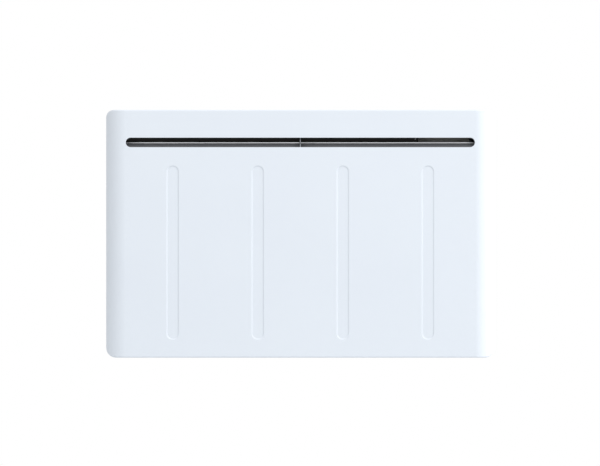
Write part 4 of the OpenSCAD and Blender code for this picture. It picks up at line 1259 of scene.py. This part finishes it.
def outer_skin(work, kept):
    """Builds the cover's outer skin, turned to metres, with each point keeping its surface's normal."""
    rings = lip_rings()
    n = len(rings[0]) - 1
    strip = [(point, normal) for ring in rings for point, normal, _ in ring[:-1]]
    strip_faces = [(k * n + i, k * n + (i + 1) % n, (k + 1) * n + (i + 1) % n, (k + 1) * n + i)
                   for k in range(4) for i in range(n)]
    for points, faces in (front_chart(rings[0]), (strip, strip_faces), wall_chart(rings[4])):
        verts = []
        for point, normal in points:
            vert = work.verts.new([c / 1000 for c in point])
            vert[kept] = Vector(normal)
            verts.append(vert)
        for face in faces:
            corners = [verts[i] for i in face]
            a, b, c = (v.co for v in corners[:3])
            outward = sum((v[kept] for v in corners), Vector())
            if (b - a).cross(c - a).dot(outward) < 0:
                corners.reverse()
            work.faces.new(corners)
    bmesh.ops.remove_doubles(work, verts=work.verts, dist=2e-5)
    work.verts.index_update()


def cover_mesh():
    """Outer skin, inner skin and rounded sheet edges, with the true surface normal kept at every point."""
    work = bmesh.new()
    kept = work.verts.layers.float_vector.new("true_normal")
    outer_skin(work, kept)
    outer_verts, outer_faces = list(work.verts), list(work.faces)
    rims = [e for e in work.edges if len(e.link_faces) == 1]
    away = {}
    ends = []
    for rim in rims:
        loop = rim.link_loops[0]
        start, end = loop.vert, loop.link_loop_next.vert
        ends.append((start, end))
        along = (end.co - start.co).normalized()
        for vert in (start, end):
            away.setdefault(vert, []).append(along.cross(vert[kept]).normalized())
    inner = {}
    for vert in outer_verts:
        twin = work.verts.new(vert.co - vert[kept] * SHEET * 0.001)
        twin[kept] = -vert[kept]
        inner[vert] = twin
    for face in outer_faces:
        work.faces.new([inner[v] for v in reversed(face.verts)])
    edge = BREAK * 0.001
    rows = {}
    for vert, sides in away.items():
        out = sum(sides, Vector()).normalized()
        out /= max(0.5, out.dot(sides[0]))
        row = [vert]
        for base, up in ((vert, 1), (inner[vert], -1)):
            turned = []
            for angle in (math.radians(30), math.radians(60), math.radians(90)):
                lift = -up * edge * (1 - math.cos(angle))
                fresh = work.verts.new(base.co + out * edge * math.sin(angle) + vert[kept] * lift)
                fresh[kept] = (vert[kept] * up * math.cos(angle) + out * math.sin(angle)).normalized()
                turned.append(fresh)
            row += turned if up > 0 else turned[::-1]
        rows[vert] = row + [inner[vert]]
    for start, end in ends:
        for k in range(7):
            work.faces.new((rows[end][k], rows[start][k], rows[start][k + 1], rows[end][k + 1]))
    work.normal_update()
    mesh = bpy.data.meshes.new("front_cover")
    work.to_mesh(mesh)
    normals = [v[kept].normalized()[:] for v in work.verts]
    work.free()
    mesh.polygons.foreach_set("use_smooth", [True] * len(mesh.polygons))
    mesh.normals_split_custom_set_from_vertices(normals)
    return mesh


cover_white = shell_finish()
stand_in("front_cover", "shell", cover_mesh(), cover_white, "cover", crease=0)


# ---------- Cover tabs and stud clips ----------
# Four folded tabs, welded inside the cover's side walls and coated with it. Each holds a nylon clip that
# presses over a ball stud.

eased_piece("cover_tabs", "folded", cover_white, 0.0004, "cover")
# Milky and slightly waxy, as undyed nylon is.
clip_nylon = moulded("natural_nylon", "#e0e0db", "#d4d4ce", (0.38, 0.5), sockets={"Subsurface Weight": 0.05})
clip = [(0.0052, 0.0), (0.0058, 0.0), (0.0086, 0.0), (0.009, 0.0), (0.009, 0.0058), (0.0112, 0.006),
        (0.0115, 0.0063), (0.0115, 0.0077), (0.0112, 0.008), (0.009, 0.0082), (0.009, 0.0134), (0.0084, 0.014),
        (0.0056, 0.014), (0.0052, 0.0134), (0.0052, 0.010), (0.0056, 0.007), (0.0052, 0.004)]
clips = [lathe(clip, (centre.x, low.y, centre.z), closed=True) for low, high, centre in islands("stud_clips")]
stand_in("stud_clips", "moulded", solid_mesh(joined(clips)), clip_nylon, "cover")


# ---------- Vent liner ----------
# Behind the slot, folded strips keep rain and fingers out and let the air rise: a dark grey sill below, with a
# bright bead along its crest, a black drip hood above, and a web between the two lengths. The sill's colour
# carries painted shade and a painted shadow next to the web, and the hood's black is painted shade.

def swept_strip(profile, x0, x1, edge=0.0003):
    """A folded strip's YZ profile along X in nine bays, its end edges eased."""
    middle = np.mean(profile, axis=0)
    shrunk = [tuple(middle + (np.array(p) - middle) * 0.985) for p in profile]
    stations = [x0 + edge + (x1 - x0 - 2 * edge) * k / 8 for k in range(9)]
    rows = [(x0, shrunk)] + [(x, profile) for x in stations] + [(x1, shrunk)]
    return loft([[(x, y, z) for y, z in ring] for x, ring in rows])


def sill_grey():
    """Dark grey satin coat on the sill, with painted shade: darker towards the crest, lighter towards its foot,
    and a painted shadow next to the web.
    """
    made, tree, shader, coords, _ = coated("dark_grey_satin_coat", "#606266", "#56585b", 120, (0.46, 0.58),
                                           1.8, 0.02)
    height = add(tree, "ShaderNodeSeparateXYZ", {0: coords})
    # Painted shade: the sill's colour darkens from its foot up to the crest.
    lift = add(tree, "ShaderNodeMapRange", {"Value": height.outputs["Z"], "From Min": 0.236,
                                            "From Max": 0.249})
    shade = add(tree, "ShaderNodeMix", {0: lift.outputs[0], 6: linear("#717274"), 7: linear("#505256")},
                data_type="RGBA")
    # Painted shadow next to the centre web: within 22 mm of the middle the colour is mixed towards near black.
    side = add(tree, "ShaderNodeMath", {0: height.outputs["X"]}, operation="ABSOLUTE")
    web_shadow_share = add(tree, "ShaderNodeMapRange", {"Value": side.outputs[0], "From Min": 0.004, "From Max": 0.022,
                                              "To Min": 0.45, "To Max": 1.0})
    shade_and_web_shadow = add(tree, "ShaderNodeMix", {0: web_shadow_share.outputs[0], 6: linear("#1c1d1f"), 7: shade.outputs[2]},
                 data_type="RGBA")
    tree.links.new(shade_and_web_shadow.outputs[2], shader.inputs["Base Color"])
    return made


def hood_black_shade():
    """Dead black coat on the drip hood, so that the slot reads as a dark gap: painted shade for the shadow in
    the slot's upper half.
    """
    return coated("matt_black_coat", "#32322f", "#2a2a28", 80, (0.7, 0.85), 1.2, 0.03,
                  sockets={"Specular IOR Level": 0.25})[0]


sill_coat = sill_grey()
for node in ("left_vent_sill", "right_vent_sill"):
    low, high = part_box(node)
    front, top = low.y, high.z
    fold = [(front, low.z), (front + 0.0015, low.z), (front + 0.0015, 0.2335), (front + 0.0022, 0.2346),
            (high.y - 0.0006, top - 0.0024), (high.y, top - 0.0014), (high.y, top), (high.y - 0.0015, top),
            (front + 0.0012, 0.2372), (front, 0.236)]
    stand_in(node, "folded", solid_mesh(swept_strip(fold, low.x, high.x)), sill_coat, "cover", 40)

# The brightest thing in the slot: a soft streak of light all along the crest.
bead_metal = brushed("brushed_aluminium_bead", "#f6f7f8", "#ecedef", 35, (0.5, 0.62), 2.2, [0.02, 1, 1])
beads = []
for low, high, centre in islands("sill_trim"):
    section = rounded(centre.y, centre.z - 0.00015, high.y - low.y, high.z - low.z - 0.0003, 0.0012, 5)
    bays = [(low.x + (high.x - low.x) * k / 8, 0.0) for k in range(1, 8)]
    beads.append(along_x(section, [(low.x, 0.0004), (low.x + 0.0004, 0.0)] + bays
                         + [(high.x - 0.0004, 0.0), (high.x, 0.0004)]))
stand_in("sill_trim", "bead", solid_mesh(joined(beads)), bead_metal, "cover", 50)

# The hood's black is painted shade for the slot's dark upper half.
black_shade_coat = hood_black_shade()
for node in ("left_vent_baffle", "right_vent_baffle"):
    low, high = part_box(node)
    hood, t = 0.272, 0.0015
    fold = [(high.y - t, low.z), (high.y, low.z), (high.y, hood + t - 0.0008), (high.y - 0.0008, hood + t),
            (low.y + t + 0.0006, hood + t), (low.y + t, hood + t + 0.0006), (low.y + t, high.z),
            (low.y, high.z), (low.y, hood + 0.0008), (low.y + 0.0008, hood), (high.y - t - 0.0006, hood),
            (high.y - t, hood - 0.0006)]
    stand_in(node, "folded", solid_mesh(swept_strip(fold, low.x, high.x)), black_shade_coat, "cover", 40)

# A little duller than the bead, and brushed upright.
web_metal = brushed("bare_aluminium_web", "#c9ccd0", "#bcbfc3", 35, (0.45, 0.6), 2.2, [1, 1, 0.05])
eased_piece("centre_web", "blanked", web_metal, 0.0003, "cover")


def lens_plastic():
    """Clear smoky acrylic lens of the status light, unlit: a glossy dome that passes a little light."""
    return coated("smoky_acrylic_lens", "#c9cccd", "#bcbfc1", 4, (0.05, 0.1), 1.0, 0.002,
                  sockets={"IOR": 1.49, "Transmission Weight": 0.35, "Coat Weight": 0.4})[0]


low, high, centre = box_of("light_pipe")
dome = [(0.0002, low.y), (0.0009, low.y + 0.0001), (0.0016, low.y + 0.0005), (0.0021, low.y + 0.0012),
        (0.0022, low.y + 0.0018), (0.0022, high.y)]
stand_in("light_pipe", "lens", solid_mesh(lathe(dome, (centre.x, 0, centre.z))), lens_plastic(), "cover")


# ---------- Studio ----------
# A pale plain floor below the hanging unit, a white surround that is a little stronger from the right and from
# above, and two soft lamps: one large above and to the right, and a tall one that burns out the right edge.

def lamp(name, azimuth, elevation, distance, width, height, power, colour="#ffffff"):
    """A soft rectangular lamp that faces the cover from azimuth degrees to the right and elevation above."""
    data = bpy.data.lights.new(name, "AREA")
    data.shape = "RECTANGLE"
    data.size, data.size_y = width, height
    data.energy = power
    data.color = linear(colour)[:3]
    a, e = math.radians(azimuth), math.radians(elevation)
    aim = Vector((0, -0.3, 0))
    outward = Vector((math.sin(a) * math.cos(e), -math.cos(a) * math.cos(e), math.sin(e)))
    made = bpy.data.objects.new(name, data)
    made.location = aim + outward * distance
    made.rotation_euler = (-outward).to_track_quat("-Z", "Y").to_euler()
    bpy.context.scene.collection.objects.link(made)


lamp("key", 32, 36, 6.0, 4.2, 3.6, 98, "#fcfdff")
lamp("rim", 91, 4, 4.6, 1.0, 3.0, 51)

world = bpy.data.worlds.new("white_surround")
bpy.context.scene.world = world
world.use_nodes = True
sky = world.node_tree
around_it = sky.nodes["Background"]
around_it.inputs["Color"].default_value = linear("#fcfdff")
towards = add(sky, "ShaderNodeSeparateXYZ", {0: add(sky, "ShaderNodeTexCoord").outputs["Generated"]})
sideways = add(sky, "ShaderNodeMath", {0: towards.outputs["X"], 1: 0.19, 2: 0.83}, operation="MULTIPLY_ADD")
upwards = add(sky, "ShaderNodeMath", {0: towards.outputs["Z"], 1: 0.24, 2: sideways.outputs[0]},
              operation="MULTIPLY_ADD")
sky.links.new(upwards.outputs[0], around_it.inputs["Strength"])
seen = add(sky, "ShaderNodeLightPath")
white = add(sky, "ShaderNodeBackground", {"Color": linear("#ffffff"), "Strength": 1.0})
either = add(sky, "ShaderNodeMixShader", {0: seen.outputs["Is Camera Ray"], 1: around_it.outputs[0],
                                          2: white.outputs[0]})
sky.links.new(either.outputs[0], sky.nodes["World Output"].inputs["Surface"])


def floor_finish():
    """Pale matt studio floor with a very slight unevenness."""
    return coated("pale_studio_floor", "#d3d5d7", "#cccfd1", 400, (0.7, 0.8), 6.0, 0.05)[0]


floor_mesh = bpy.data.meshes.new("studio_floor")
floor_mesh.from_pydata([(-2.2, -1.6, -0.95), (2.2, -1.6, -0.95), (2.2, 1.2, -0.95), (-2.2, 1.2, -0.95)], [],
                       [(0, 1, 2, 3)])
floor_mesh.materials.append(floor_finish())
floor = bpy.data.objects.new("studio_floor", floor_mesh)
bpy.context.scene.collection.objects.link(floor)

# A long lens far in front of the cover, which takes in view_width metres at the cover's face.
view_width = 1.65036
lens, sensor = 600, 36
data = bpy.data.cameras.new("camera")
data.lens = lens
data.sensor_width = sensor
data.clip_end = 120
camera = bpy.data.objects.new("camera", data)
camera.location = (-0.0008, cad_box[0].y - view_width * lens / sensor, 0.0019)
camera.rotation_euler = (math.pi / 2, 0, 0)
bpy.context.scene.collection.objects.link(camera)
bpy.context.scene.camera = camera
bpy.context.scene.view_settings.view_transform = "Standard"
